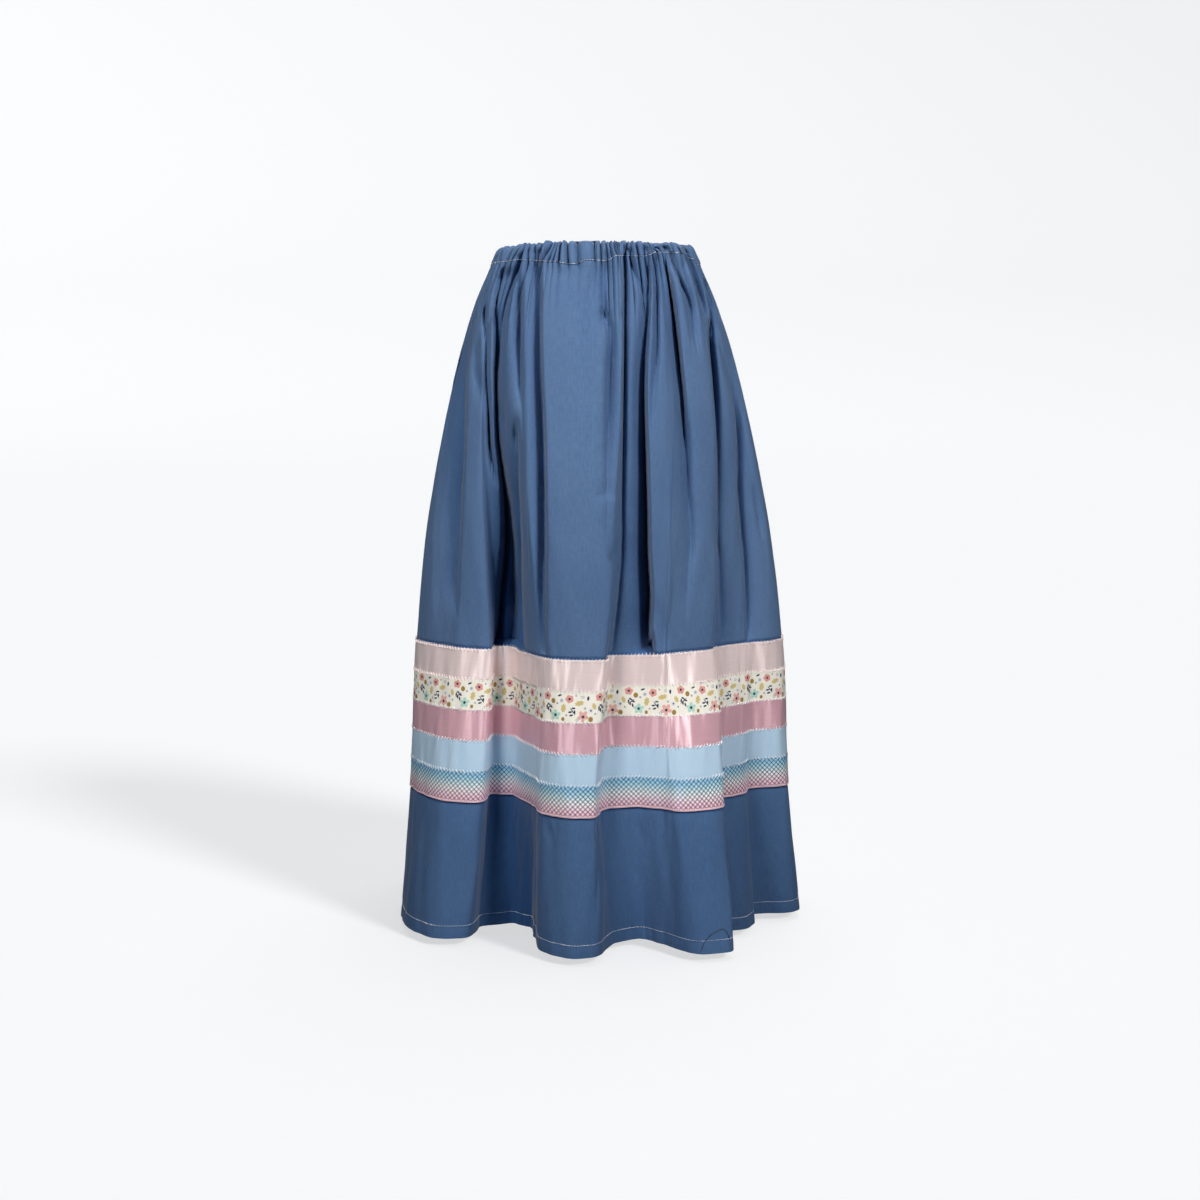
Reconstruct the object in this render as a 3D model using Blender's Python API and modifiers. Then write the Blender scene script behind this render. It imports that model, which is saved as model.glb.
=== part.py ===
"""Ribbon skirt: a gathered cotton skirt with an elastic waist and five ribbons near the hem.

The skirt hangs filled out, as if worn, open at the waist and at the hem.
Origin: middle of the waist's top edge. +Z is up, -Y is the front, +X is the wearer's left.
Every place on the cloth has two measures:
  share  0 to 1 round the cloth, from the left-hand side seam (-X) by the front to it again
  depth  metres down the cloth from the waist's top edge
"""

import math
from collections import namedtuple

import bpy
import numpy as np

# ---- Driving sizes, in metres -------------------------------------------------------------

SKIRT_LENGTH = 0.845          # waist edge to hem
CASING_HEIGHT = 0.022         # top edge to the casing's stitching
CASING_WALL = 0.0020          # two layers of cotton over flat elastic
CASING_BULGE = 0.0016         # how far the elastic pushes the casing out
CASING_ROUND = 0.006          # height of the rounded top edge
CLOTH_WALL = 0.0012
SEAM_GAP = 0.0003             # between the panels
CASING_SEAM_GAP = 0.0006      # under the casing, whose thick wall leans down inside

RIBBON_WIDTH = 0.038
RIBBON_WALL = 0.0010
RIBBON_TOP = 0.495            # waist edge to the first ribbon
RIBBON_GAP = 0.0003           # ribbon to cloth, and ribbon to ribbon
RIBBONS = ("ribbon_pale_pink", "ribbon_flower_print", "ribbon_dusty_rose",
           "ribbon_light_blue", "ribbon_scale_net")
SHARPEST_MITRE = 0.4          # keeps a ribbon's corner from running out too far

WAIST_SIDE_DIP = 0.007        # the waist's edge lies lower at the sides than in front
WAIST_TILT = 0.003            # and higher at +X than at -X
WAIST_SET_FADE = 0.200        # depth at which dip and tilt are gone

GATHERS = 84                  # round the waist, half on each panel
COLUMNS_PER_GATHER = 3
GATHER_UNEVENNESS = 0.38      # share by which a gather's width strays from the mean
GATHER_SWELL_DEPTH = 0.045    # the gathers are deepest just under the casing

# The skirt's plain section at each depth, with no folds: an ellipse.
Section = namedtuple("Section", "depth half_width half_depth")
SECTIONS = [
    Section(0.000, 0.121, 0.094),
    Section(0.022, 0.130, 0.103),
    Section(0.070, 0.149, 0.119),
    Section(0.110, 0.163, 0.130),
    Section(0.150, 0.174, 0.138),
    Section(0.200, 0.186, 0.146),
    Section(0.325, 0.211, 0.159),
    Section(0.495, 0.232, 0.170),
    Section(0.685, 0.241, 0.194),
    Section(0.845, 0.254, 0.215),
]

# The large folds that hang from the hips, by where their lines run.
# turn: degrees round the section's ellipse, 0 in front and 90 at +X
# waist: at the casing; band: at the first ribbon's top; hem: at the hem
# reach: share of the ellipse's own distance from the axis
Fold = namedtuple("Fold", "name waist_turn band_turn band_reach hem_turn hem_reach")
FRONT_FOLDS = [
    Fold("left seam", -90, -90, 1.00, -90, 0.98),
    Fold("left lobe back", -82, -74, 1.04, -69, 1.06),
    Fold("left lobe crest", -74, -59, 0.98, -53, 1.13),
    Fold("left lobe front", -67, -49, 0.95, -44, 1.14),
    Fold("left lobe edge", -60, -40, 0.89, -38, 1.03),
    Fold("pocket turn", -54, -45, 0.75, -42, 0.79),
    Fold("pocket floor", -47, -38, 0.73, -38, 0.69),
    Fold("front lobe left foot", -37, -25, 0.89, -27, 0.76),
    Fold("front lobe left", -29, -13, 1.08, -14, 1.09),
    Fold("front lobe crest", -13, -5, 1.11, -5, 1.20),
    Fold("front lobe right", 6, 2, 1.10, 0, 1.16),
    Fold("front lobe right foot", 15, 5, 0.92, 6, 0.92),
    Fold("front valley", 22, 14, 0.93, 14, 0.86),
    Fold("right lobe left foot", 30, 21, 0.95, 19, 0.99),
    Fold("right lobe crest", 39, 27, 0.93, 24, 1.22),
    Fold("right lobe edge", 55, 38, 0.89, 31, 1.25),
    Fold("right notch", 64, 46, 0.87, 42, 0.89),
    Fold("outer shelf", 72, 54, 0.88, 53, 0.94),
    Fold("outer shelf edge", 76, 59, 0.90, 59, 0.92),
    Fold("side notch", 80, 64, 0.93, 68, 0.85),
    Fold("right side lobe", 85, 74, 1.04, 77, 1.05),
    Fold("right seam", 90, 90, 1.03, 90, 1.01),
]
BACK_FOLDS = [
    Fold("right back lobe", 101, 103, 1.05, 103, 1.10),
    Fold("right back valley", 113, 115, 0.95, 116, 0.84),
    Fold("second back foot", 121, 122, 0.95, 123, 0.88),
    Fold("second back lobe", 130, 129, 1.04, 129, 1.14),
    Fold("second back edge", 142, 141, 1.02, 142, 1.15),
    Fold("second back valley", 150, 149, 0.91, 150, 0.83),
    Fold("centre back foot", 158, 157, 0.93, 159, 0.84),
    Fold("centre back lobe", 166, 166, 1.06, 165, 1.15),
    Fold("centre back edge", 179, 179, 1.07, 180, 1.16),
    Fold("centre back valley", 189, 188, 0.93, 188, 0.86),
    Fold("fourth back lobe", 202, 203, 1.02, 203, 1.10),
    Fold("fourth back valley", 213, 213, 0.94, 214, 0.83),
    Fold("left back foot", 221, 221, 0.94, 222, 0.87),
    Fold("left back lobe", 230, 230, 1.03, 229, 1.14),
    Fold("left back edge", 242, 241, 1.02, 242, 1.13),
    Fold("left back valley", 251, 250, 0.93, 250, 0.86),
    Fold("left seam lobe", 261, 260, 1.02, 260, 1.02),
]

# Troughs that run down from the gathers. A trough starts at top, is deepest a third of the
# way down and is gone at foot. near and far are its half widths, in share, to either side.
Trough = namedtuple("Trough", "top_share foot_share top foot depth near far")
FRONT_TROUGHS = [
    Trough(0.030, 0.034, 0.040, 0.300, 0.006, 0.008, 0.008),
    Trough(0.066, 0.090, 0.070, 0.440, 0.009, 0.014, 0.014),
    Trough(0.088, 0.123, 0.050, 0.250, 0.005, 0.006, 0.006),
    Trough(0.092, 0.152, 0.050, 0.370, 0.007, 0.006, 0.008),
    Trough(0.136, 0.150, 0.030, 0.360, 0.009, 0.005, 0.006),
    Trough(0.152, 0.173, 0.022, 0.250, 0.006, 0.005, 0.007),
    Trough(0.199, 0.206, 0.022, 0.480, 0.010, 0.010, 0.004),
    Trough(0.246, 0.246, 0.022, 0.270, 0.004, 0.005, 0.005),
    Trough(0.276, 0.276, 0.022, 0.430, 0.009, 0.004, 0.009),
    Trough(0.300, 0.295, 0.030, 0.420, 0.007, 0.006, 0.008),
    Trough(0.328, 0.300, 0.022, 0.210, 0.007, 0.006, 0.006),
    Trough(0.343, 0.346, 0.022, 0.460, 0.010, 0.006, 0.009),
    Trough(0.364, 0.352, 0.030, 0.210, 0.006, 0.005, 0.006),
    Trough(0.402, 0.392, 0.040, 0.420, 0.009, 0.005, 0.008),
    Trough(0.456, 0.442, 0.060, 0.400, 0.008, 0.006, 0.008),
    Trough(0.466, 0.466, 0.240, 0.400, 0.006, 0.006, 0.008),
]
BACK_TROUGHS = [
    Trough(0.522, 0.518, 0.030, 0.300, 0.007, 0.006, 0.008),
    Trough(0.548, 0.552, 0.022, 0.430, 0.010, 0.005, 0.008),
    Trough(0.575, 0.569, 0.022, 0.210, 0.006, 0.006, 0.006),
    Trough(0.600, 0.607, 0.030, 0.370, 0.009, 0.009, 0.005),
    Trough(0.629, 0.622, 0.022, 0.470, 0.010, 0.005, 0.008),
    Trough(0.655, 0.662, 0.040, 0.240, 0.006, 0.006, 0.006),
    Trough(0.683, 0.680, 0.022, 0.410, 0.010, 0.009, 0.005),
    Trough(0.712, 0.705, 0.022, 0.210, 0.005, 0.005, 0.006),
    Trough(0.735, 0.743, 0.030, 0.450, 0.010, 0.006, 0.009),
    Trough(0.768, 0.764, 0.022, 0.260, 0.007, 0.006, 0.006),
    Trough(0.796, 0.803, 0.030, 0.390, 0.009, 0.008, 0.005),
    Trough(0.830, 0.826, 0.022, 0.470, 0.010, 0.005, 0.009),
    Trough(0.858, 0.865, 0.040, 0.220, 0.006, 0.006, 0.006),
    Trough(0.890, 0.884, 0.022, 0.410, 0.009, 0.008, 0.006),
    Trough(0.925, 0.932, 0.030, 0.310, 0.007, 0.006, 0.008),
    Trough(0.960, 0.955, 0.050, 0.400, 0.008, 0.006, 0.008),
]


# ---- Curves -------------------------------------------------------------------------------

def ease(t):
    """0 to 1, smooth at both ends."""
    t = np.clip(t, 0.0, 1.0)
    return t * t * (3.0 - 2.0 * t)


def curve_through(knots, values, at):
    """A smooth curve through the values at the knots, read at the places in at."""
    knots = np.asarray(knots, dtype=float)
    values = np.asarray(values, dtype=float)
    steps = np.diff(knots)
    slopes = np.diff(values) / steps
    inner = (slopes[:-1] * steps[1:] + slopes[1:] * steps[:-1]) / (steps[:-1] + steps[1:])
    tangents = np.concatenate([slopes[:1], inner, slopes[-1:]])
    i = np.clip(np.searchsorted(knots, at, side="right") - 1, 0, len(steps) - 1)
    t = (at - knots[i]) / steps[i]
    return (values[i] * (1 + 2 * t) * (1 - t) ** 2
            + values[i + 1] * t * t * (3 - 2 * t)
            + tangents[i] * steps[i] * t * (1 - t) ** 2
            - tangents[i + 1] * steps[i] * t * t * (1 - t))


def section_at(depth):
    """Half width and half depth of the plain section."""
    depths = [s.depth for s in SECTIONS]
    half_width = curve_through(depths, [s.half_width for s in SECTIONS], depth)
    half_depth = curve_through(depths, [s.half_depth for s in SECTIONS], depth)
    return half_width, half_depth


def share_out(folds):
    """Shares of the folds' lines: each panel's hem, measured along its lobes, is one half."""
    half_width, half_depth = section_at(np.array([SKIRT_LENGTH]))
    turns = np.radians([f.hem_turn for f in folds])
    reach = np.array([f.hem_reach for f in folds])
    x = reach * half_width[0] * np.sin(turns)
    y = -reach * half_depth[0] * np.cos(turns)
    run = np.concatenate([[0.0], np.cumsum(np.hypot(np.diff(x), np.diff(y)))])
    seam = len(FRONT_FOLDS) - 1
    front = 0.5 * run[:seam + 1] / run[seam]
    back = 0.5 + 0.5 * (run[seam + 1:] - run[seam]) / (run[-1] - run[seam])
    return np.concatenate([front, back])


CLOSING_FOLD = Fold("left seam again", 270, 270, FRONT_FOLDS[0].band_reach,
                    270, FRONT_FOLDS[0].hem_reach)
FOLDS = FRONT_FOLDS + BACK_FOLDS + [CLOSING_FOLD]
FOLD_SHARES = share_out(FOLDS)


def round_curve(values, share, lap=0.0):
    """A closed smooth curve through one value for each fold line. lap is added each round."""
    overlap = 3
    knots = np.concatenate([FOLD_SHARES[-1 - overlap:-1] - 1, FOLD_SHARES,
                            FOLD_SHARES[1:1 + overlap] + 1])
    values = np.asarray(values, dtype=float)
    values = np.concatenate([values[-1 - overlap:-1] - lap, values, values[1:1 + overlap] + lap])
    return curve_through(knots, values, share)


# ---- The cloth's form ---------------------------------------------------------------------

def fold_form(share, depth):
    """Plan position of the cloth with its large folds only."""
    whole = np.floor(share)
    local = share - whole
    waist_turn = round_curve([f.waist_turn for f in FOLDS], local, 360.0)
    band_turn = round_curve([f.band_turn for f in FOLDS], local, 360.0)
    hem_turn = round_curve([f.hem_turn for f in FOLDS], local, 360.0)
    band_reach = round_curve([f.band_reach for f in FOLDS], local)
    hem_reach = round_curve([f.hem_reach for f in FOLDS], local)

    above = (depth - CASING_HEIGHT) / (RIBBON_TOP - CASING_HEIGHT)
    below = np.clip((depth - RIBBON_TOP) / (SKIRT_LENGTH - RIBBON_TOP), 0.0, 1.0)
    lower_turn = band_turn + (hem_turn - band_turn) * below
    lower_reach = band_reach + (hem_reach - band_reach) * below
    turn = waist_turn + (lower_turn - waist_turn) * np.clip(above, 0.0, 1.0)
    reach = 1.0 + (lower_reach - 1.0) * ease(above)

    half_width, half_depth = section_at(depth)
    angle = np.radians(turn)
    return reach * half_width * np.sin(angle), -reach * half_depth * np.cos(angle)


def outward(share, depth):
    """Plan direction square to the cloth and out of the skirt."""
    step = 0.0008
    x0, y0 = fold_form(share - step, depth)
    x1, y1 = fold_form(share + step, depth)
    length = np.hypot(x1 - x0, y1 - y0)
    return (y1 - y0) / length, -(x1 - x0) / length


def gather_edges():
    """Shares at which one gather ends and the next begins, uneven but the same on each run.

    The gathers are spaced half by the waist's turn and half by share, so that they crowd
    where the skirt below is fuller.
    """
    i = np.arange(GATHERS)
    widths = 1.0 + GATHER_UNEVENNESS * (0.62 * np.sin(2.39 * i) + 0.38 * np.sin(4.1 * i + 1.0))
    half = GATHERS // 2
    front = 0.5 * np.cumsum(widths[:half]) / widths[:half].sum()
    back = 0.5 + 0.5 * np.cumsum(widths[half:]) / widths[half:].sum()
    share = np.linspace(0.0, 1.0, 2001)
    turned = (round_curve([f.waist_turn for f in FOLDS], share, 360.0) + 90.0) / 360.0
    return np.interp(np.concatenate([[0.0], front, back]), 0.5 * (turned + share), share)


GATHER_EDGES = gather_edges()


def gather_height(share, depth):
    """How far the gathers lift the cloth, crest up and valley down."""
    local = share - np.floor(share)
    i = np.clip(np.searchsorted(GATHER_EDGES, local, side="right") - 1, 0, GATHERS - 1)
    phase = (local - GATHER_EDGES[i]) / (GATHER_EDGES[i + 1] - GATHER_EDGES[i])
    wave = 0.5 - 0.5 * np.cos(2 * math.pi * phase)
    size = 0.0016 + 0.0006 * np.sin(1.7 * i)
    run = 0.130 + 0.075 * np.sin(2.9 * i + 0.6)
    swell = 1.0 + 0.5 * ease(depth / GATHER_SWELL_DEPTH)
    fade = 1.0 - ease((depth - GATHER_SWELL_DEPTH) / run)
    return size * swell * fade * (2 * wave - 1)


def trough_height(share, depth):
    """How far the long troughs sink the cloth."""
    local = share - np.floor(share)
    height = np.zeros(np.broadcast(share, depth).shape)
    for trough in FRONT_TROUGHS + BACK_TROUGHS:
        down = (depth - trough.top) / (trough.foot - trough.top)
        middle = trough.top_share + (trough.foot_share - trough.top_share) * down
        side = local - middle
        side = side - np.round(side)
        width = np.where(side < 0, trough.near, trough.far)
        strength = ease(3.0 * down) * (1.0 - ease((down - 0.33) / 0.67))
        height = height - trough.depth * strength * np.exp(-(side / width) ** 2)
    return height


def waist_set(share, depth):
    """Height by which the waist's dip and tilt move the cloth."""
    angle = np.radians(-90.0 + 360.0 * share)
    left = 1.0 - ease(depth / WAIST_SET_FADE)
    return left * (WAIST_TILT * np.sin(angle) - WAIST_SIDE_DIP * np.sin(angle) ** 2)


def cloth_points(shares, depths, lift=0.0):
    """Grid of points on the cloth's outer face, moved out by lift: a row for each depth."""
    share = np.asarray(shares)[None, :]
    depth = np.asarray(depths)[:, None]
    lift = np.broadcast_to(lift, (len(depths),))[:, None]
    x, y = fold_form(share, depth)
    nx, ny = outward(share, depth)
    height = gather_height(share, depth) + trough_height(share, depth) + lift
    z = waist_set(share, depth) - depth
    return np.stack([x + nx * height, y + ny * height, z + 0 * x], axis=2)


# ---- Meshes -------------------------------------------------------------------------------

def column_shares():
    """Fine columns round the whole cloth, at the same phases of each gather."""
    shares = []
    for start, end in zip(GATHER_EDGES[:-1], GATHER_EDGES[1:]):
        for k in range(COLUMNS_PER_GATHER):
            shares.append(start + (end - start) * k / COLUMNS_PER_GATHER)
    return np.array(shares)


def strip_faces(upper, lower, closed):
    """Faces between two rows of point numbers. The lower row has as many points, or half."""
    faces = []
    count = len(lower) if closed else len(lower) - 1
    for j in range(count):
        k = (j + 1) % len(lower)
        if len(upper) == len(lower):
            faces.append((upper[j], lower[j], lower[k], upper[k]))
        else:
            middle = upper[2 * j + 1]
            end = upper[(2 * j + 2) % len(upper)]
            faces.append((upper[2 * j], lower[j], middle))
            faces.append((lower[j], lower[k], middle))
            faces.append((lower[k], end, middle))
    return faces


def cloth_object(name, rows, closed, wall, material, collection):
    """An object made from rows of points, top row first, with a wall on its inner side."""
    points = []
    faces = []
    previous = None
    for row in rows:
        numbers = list(range(len(points), len(points) + len(row)))
        points.extend(row.tolist())
        if previous is not None:
            faces.extend(strip_faces(previous, numbers, closed))
        previous = numbers
    mesh = bpy.data.meshes.new(name)
    mesh.from_pydata(points, [], faces)
    mesh.update()
    mesh.shade_smooth()
    mesh.materials.append(material)
    part = bpy.data.objects.new(name, mesh)
    collection.objects.link(part)
    solidify = part.modifiers.new("Wall", "SOLIDIFY")
    solidify.thickness = wall
    solidify.offset = -1.0
    solidify.use_even_offset = False
    return part


def moved_out(row, distance):
    """A closed row of points moved out level, so that its sides lie distance from the old."""
    ahead = np.roll(row, -1, axis=0) - row
    ahead[:, 2] = 0.0
    ahead /= np.linalg.norm(ahead, axis=1)[:, None]
    side = np.stack([ahead[:, 1], -ahead[:, 0], 0 * ahead[:, 2]], axis=1)
    corner = side + np.roll(side, 1, axis=0)
    corner /= np.linalg.norm(corner, axis=1)[:, None]
    mitre = np.sum(corner * side, axis=1)[:, None]
    return row + corner * distance / np.maximum(mitre, SHARPEST_MITRE)


def make_material(name, colour, roughness):
    material = bpy.data.materials.new(name)
    material.use_nodes = True
    shader = material.node_tree.nodes["Principled BSDF"]
    shader.inputs["Base Color"].default_value = (*colour, 1.0)
    shader.inputs["Roughness"].default_value = roughness
    shader.inputs["Metallic"].default_value = 0.0
    return material


# ---- Pieces -------------------------------------------------------------------------------

FINE_DEPTHS = [CASING_HEIGHT + CASING_SEAM_GAP, 0.060, 0.110]
COARSE_DEPTHS = [0.180, 0.270, 0.380, RIBBON_TOP]
COARSE_DEPTHS += [RIBBON_TOP + RIBBON_WIDTH * k for k in range(1, len(RIBBONS) + 1)]
COARSE_DEPTHS += [0.765, SKIRT_LENGTH]


def make_casing(shares, material, collection):
    """The tunnel of cotton over the elastic, gathered all round."""
    depths = [0.0, CASING_ROUND, CASING_HEIGHT]
    lift = [-CASING_BULGE, CASING_BULGE, 0.0]
    rows = cloth_points(shares, depths, lift)
    return cloth_object("waist_casing", rows, True, CASING_WALL, material, collection)


def make_panel(name, shares, start, material, collection):
    """Front or back panel: one half of the cloth, short of the side seams by half a gap."""
    own = shares[(shares >= start - 1e-9) & (shares < start + 0.5 - 1e-9)]
    own = np.append(own, start + 0.5)
    seam_inset = 0.5 * SEAM_GAP
    fine = cloth_points(own, FINE_DEPTHS)
    coarse = cloth_points(own[::2], COARSE_DEPTHS)
    rows = list(fine) + list(coarse)
    for row in rows:
        for edge, neighbour in ((0, 1), (-1, -2)):
            along = row[neighbour] - row[edge]
            row[edge] += along / np.linalg.norm(along) * seam_inset
    return cloth_object(name, rows, False, CLOTH_WALL, material, collection)


def make_ribbon(number, name, shares, material, collection):
    """One ribbon, sewn flat on the panels all round."""
    top = RIBBON_TOP + RIBBON_WIDTH * number
    depths = np.array([top, top + RIBBON_WIDTH])
    rows = [moved_out(row, RIBBON_GAP + RIBBON_WALL) for row in cloth_points(shares[::2], depths)]
    share_of_gap = 0.5 * RIBBON_GAP / RIBBON_WIDTH
    drop = (rows[1] - rows[0]) * share_of_gap
    rows[0] += drop
    rows[1] -= drop
    return cloth_object(name, rows, True, RIBBON_WALL, material, collection)


def build():
    for old in list(bpy.data.objects):
        bpy.data.objects.remove(old, do_unlink=True)
    skirt = bpy.data.collections.new("ribbon_skirt")
    bpy.context.scene.collection.children.link(skirt)

    cotton = make_material("blue_cotton", (0.105, 0.165, 0.270), 0.85)
    ribbon_looks = [
        make_material("pale_pink_satin", (0.72, 0.50, 0.50), 0.35),
        make_material("flower_print", (0.82, 0.78, 0.70), 0.70),
        make_material("dusty_rose_satin", (0.52, 0.22, 0.30), 0.35),
        make_material("light_blue_ribbon", (0.38, 0.57, 0.72), 0.55),
        make_material("scale_net_ribbon", (0.45, 0.47, 0.62), 0.50),
    ]

    shares = column_shares()
    make_casing(shares, cotton, skirt)
    make_panel("front_panel", shares, 0.0, cotton, skirt)
    make_panel("back_panel", shares, 0.5, cotton, skirt)
    for number, (name, look) in enumerate(zip(RIBBONS, ribbon_looks)):
        make_ribbon(number, name, shares, look, skirt)


build()
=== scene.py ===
"""Ribbon skirt: the looks of a gathered blue cotton skirt with five ribbons above the hem."""

import math
from collections import namedtuple
from functools import partial

import bpy
import numpy as np
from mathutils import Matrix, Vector

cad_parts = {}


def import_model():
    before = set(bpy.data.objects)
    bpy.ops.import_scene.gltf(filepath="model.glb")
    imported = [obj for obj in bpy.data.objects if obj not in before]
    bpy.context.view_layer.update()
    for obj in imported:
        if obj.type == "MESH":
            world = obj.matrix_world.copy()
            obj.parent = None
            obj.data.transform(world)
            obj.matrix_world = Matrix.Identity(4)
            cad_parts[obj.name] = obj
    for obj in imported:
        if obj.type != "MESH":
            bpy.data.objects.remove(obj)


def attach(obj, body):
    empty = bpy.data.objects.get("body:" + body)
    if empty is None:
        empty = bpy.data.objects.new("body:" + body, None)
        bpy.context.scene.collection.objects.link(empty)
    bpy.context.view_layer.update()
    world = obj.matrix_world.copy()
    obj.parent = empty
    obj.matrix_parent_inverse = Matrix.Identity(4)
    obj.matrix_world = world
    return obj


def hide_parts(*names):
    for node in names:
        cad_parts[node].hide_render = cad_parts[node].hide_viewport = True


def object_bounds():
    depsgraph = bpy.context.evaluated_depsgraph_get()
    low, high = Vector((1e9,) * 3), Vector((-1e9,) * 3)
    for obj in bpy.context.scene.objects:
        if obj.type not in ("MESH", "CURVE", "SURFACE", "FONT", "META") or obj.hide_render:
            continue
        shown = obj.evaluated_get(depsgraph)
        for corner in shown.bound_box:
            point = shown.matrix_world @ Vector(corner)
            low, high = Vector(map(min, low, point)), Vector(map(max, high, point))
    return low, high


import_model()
cad_low, cad_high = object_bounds()


# ---- Camera, floor and light --------------------------------------------------------------
# A round pale studio, floor and wall in one, stands clear of the skirt. Two lamps high on
# either side of the camera light the front, a cool strip fills its shade and a lamp behind
# lights the back. Two suns light the studio alone.

PICTURE_SIZE = 1200.0
FOCAL_LENGTH_PIXELS = 2200.0
WAIST_ROW = 245.0             # the waist's level in the picture
CAMERA_PLACE = (0.005, -2.8, 0.0)
SENSOR = 36.0


def put(name, data):
    """A new object in the scene."""
    thing = bpy.data.objects.new(name, data)
    bpy.context.scene.collection.objects.link(thing)
    return thing


lens = bpy.data.cameras.new("camera")
lens.sensor_width = SENSOR
lens.lens = SENSOR * FOCAL_LENGTH_PIXELS / PICTURE_SIZE
camera = put("camera", lens)
tilt_down = math.atan((PICTURE_SIZE / 2 - WAIST_ROW) / FOCAL_LENGTH_PIXELS)
camera.location = CAMERA_PLACE
camera.rotation_euler = (math.pi / 2 - tilt_down, 0.0, 0.0)
bpy.context.scene.camera = camera
bpy.context.scene.view_settings.view_transform = "Standard"

FLOOR_DROP = 0.012            # the hem hangs this far above the floor
STUDIO_RADIUS = 9.0
STUDIO_CURVE = 3.0
STUDIO_HEIGHT = 9.0
STUDIO_SIDES = 96
STUDIO_TURNS = 24


def smooth_mesh(name, points, faces):
    """Smooth mesh from points and four-cornered faces."""
    mesh = bpy.data.meshes.new(name)
    mesh.from_pydata(points.reshape(-1, 3).tolist(), [], faces.reshape(-1, 4).tolist())
    mesh.shade_smooth()
    return mesh


def grid_mesh(name, points, closed):
    """Smooth mesh through rows of points. closed joins the two ends of every row."""
    rows, columns = points.shape[:2]
    number = np.arange(rows * columns).reshape(rows, columns)
    right = np.roll(number, -1, axis=1)
    if not closed:
        number, right = number[:, :-1], right[:, :-1]
    faces = np.stack([number[:-1], number[1:], right[1:], right[:-1]], axis=2)
    return smooth_mesh(name, points, faces)


def studio_mesh():
    """Round floor that curves up into a wall all round."""
    lean = 0.5 * math.pi * np.arange(STUDIO_TURNS + 1) / STUDIO_TURNS
    radii = STUDIO_RADIUS - STUDIO_CURVE * (1 - np.sin(lean))
    floor_level = cad_low.z - FLOOR_DROP
    levels = floor_level + STUDIO_CURVE * (1 - np.cos(lean))
    radii = np.concatenate([[0.0], radii, [STUDIO_RADIUS]])[:, None]
    levels = np.concatenate([[floor_level], levels, [STUDIO_HEIGHT]])[:, None]
    turn = 2 * math.pi * np.arange(STUDIO_SIDES) / STUDIO_SIDES
    points = np.stack([radii * np.cos(turn), radii * np.sin(turn), levels + 0 * turn], axis=2)
    return grid_mesh("studio", points, closed=True)


def feed(tree, socket, value):
    """Give an input a value or another node's result. A colour has three parts."""
    if isinstance(value, bpy.types.NodeSocket):
        tree.links.new(value, socket)
    elif socket.type == "RGBA":
        socket.default_value = (*value, 1.0)
    else:
        socket.default_value = value


def add(tree, kind, result, inputs, **settings):
    """The named result of a new node, or all its results for None."""
    node = tree.nodes.new("ShaderNode" + kind)
    for label, value in settings.items():
        setattr(node, label, value)
    for label, value in inputs.items():
        feed(tree, node.inputs[label], value)
    return node.outputs[result] if result else node.outputs


def new_look(name):
    """A new material and its nodes."""
    look = bpy.data.materials.new(name)
    look.use_nodes = True
    return look, look.node_tree


def dress(tree, sockets):
    """Give a material's shader its values."""
    for label, value in sockets.items():
        feed(tree, tree.nodes["Principled BSDF"].inputs[label], value)


def studio_paint():
    """Matt pale paint with a glow of its own, a little stronger high on the wall."""
    paint, tree = new_look("pale_studio")
    place = add(tree, "NewGeometry", "Position", {})
    distance = add(tree, "VectorMath", "Value", {0: place}, operation="LENGTH")
    glow = add(tree, "MapRange", "Result", {"Value": distance, "From Min": 7.9, "From Max": 9.3,
                                            "To Min": 0.645, "To Max": 0.76})
    dress(tree, {"Base Color": (0.42, 0.42, 0.42), "Roughness": 1.0, "Specular IOR Level": 0.0,
                 "Emission Color": (0.985, 0.992, 1.0), "Emission Strength": glow})
    return paint


# The studio's own glow would flatten the folds, so it lights nothing and blocks no lamp.
studio = put("studio", studio_mesh())
studio.data.materials.append(studio_paint())
studio.visible_diffuse = False
studio.visible_glossy = False
studio.visible_shadow = False

skirt_only = bpy.data.collections.new("skirt_only")
studio_only = bpy.data.collections.new("studio_only")
studio_only.objects.link(studio)


def shine(light, place, aim, only):
    """Hang a light at place, pointed at aim, so that it lights only one collection."""
    lamp = put(light.name, light)
    lamp.location = place
    lamp.rotation_euler = (Vector(aim) - Vector(place)).to_track_quat("-Z", "Y").to_euler()
    lamp.light_linking.receiver_collection = only


# Sizes are in metres, the beam's spread in degrees.
HIPS = (0.0, 0.0, -0.34)
KNEES = (0.0, 0.0, -0.55)
Lamp = namedtuple("Lamp", "name place aim width height spread power colour")
LAMPS = [
    Lamp("high_lamp", (-1.05, -1.55, 1.35), HIPS, 0.6, 0.5, 72, 7.0, (1.0, 0.955, 0.91)),
    Lamp("right_lamp", (1.30, -1.70, 1.35), HIPS, 0.5, 0.5, 72, 8.8, (1.0, 0.965, 0.94)),
    Lamp("left_strip", (-1.0, -3.2, 0.0), KNEES, 0.35, 1.6, 180, 4.5, (0.50, 0.80, 1.0)),
    Lamp("back_lamp", (0.0, 2.7, 1.3), HIPS, 0.8, 0.8, 180, 70.0, (1.0, 0.98, 0.95)),
]
for lamp in LAMPS:
    light = bpy.data.lights.new(lamp.name, "AREA")
    light.shape = "RECTANGLE"
    light.size = lamp.width
    light.size_y = lamp.height
    light.spread = math.radians(lamp.spread)
    light.energy = lamp.power
    light.color = lamp.colour
    shine(light, lamp.place, lamp.aim, skirt_only)

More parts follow.
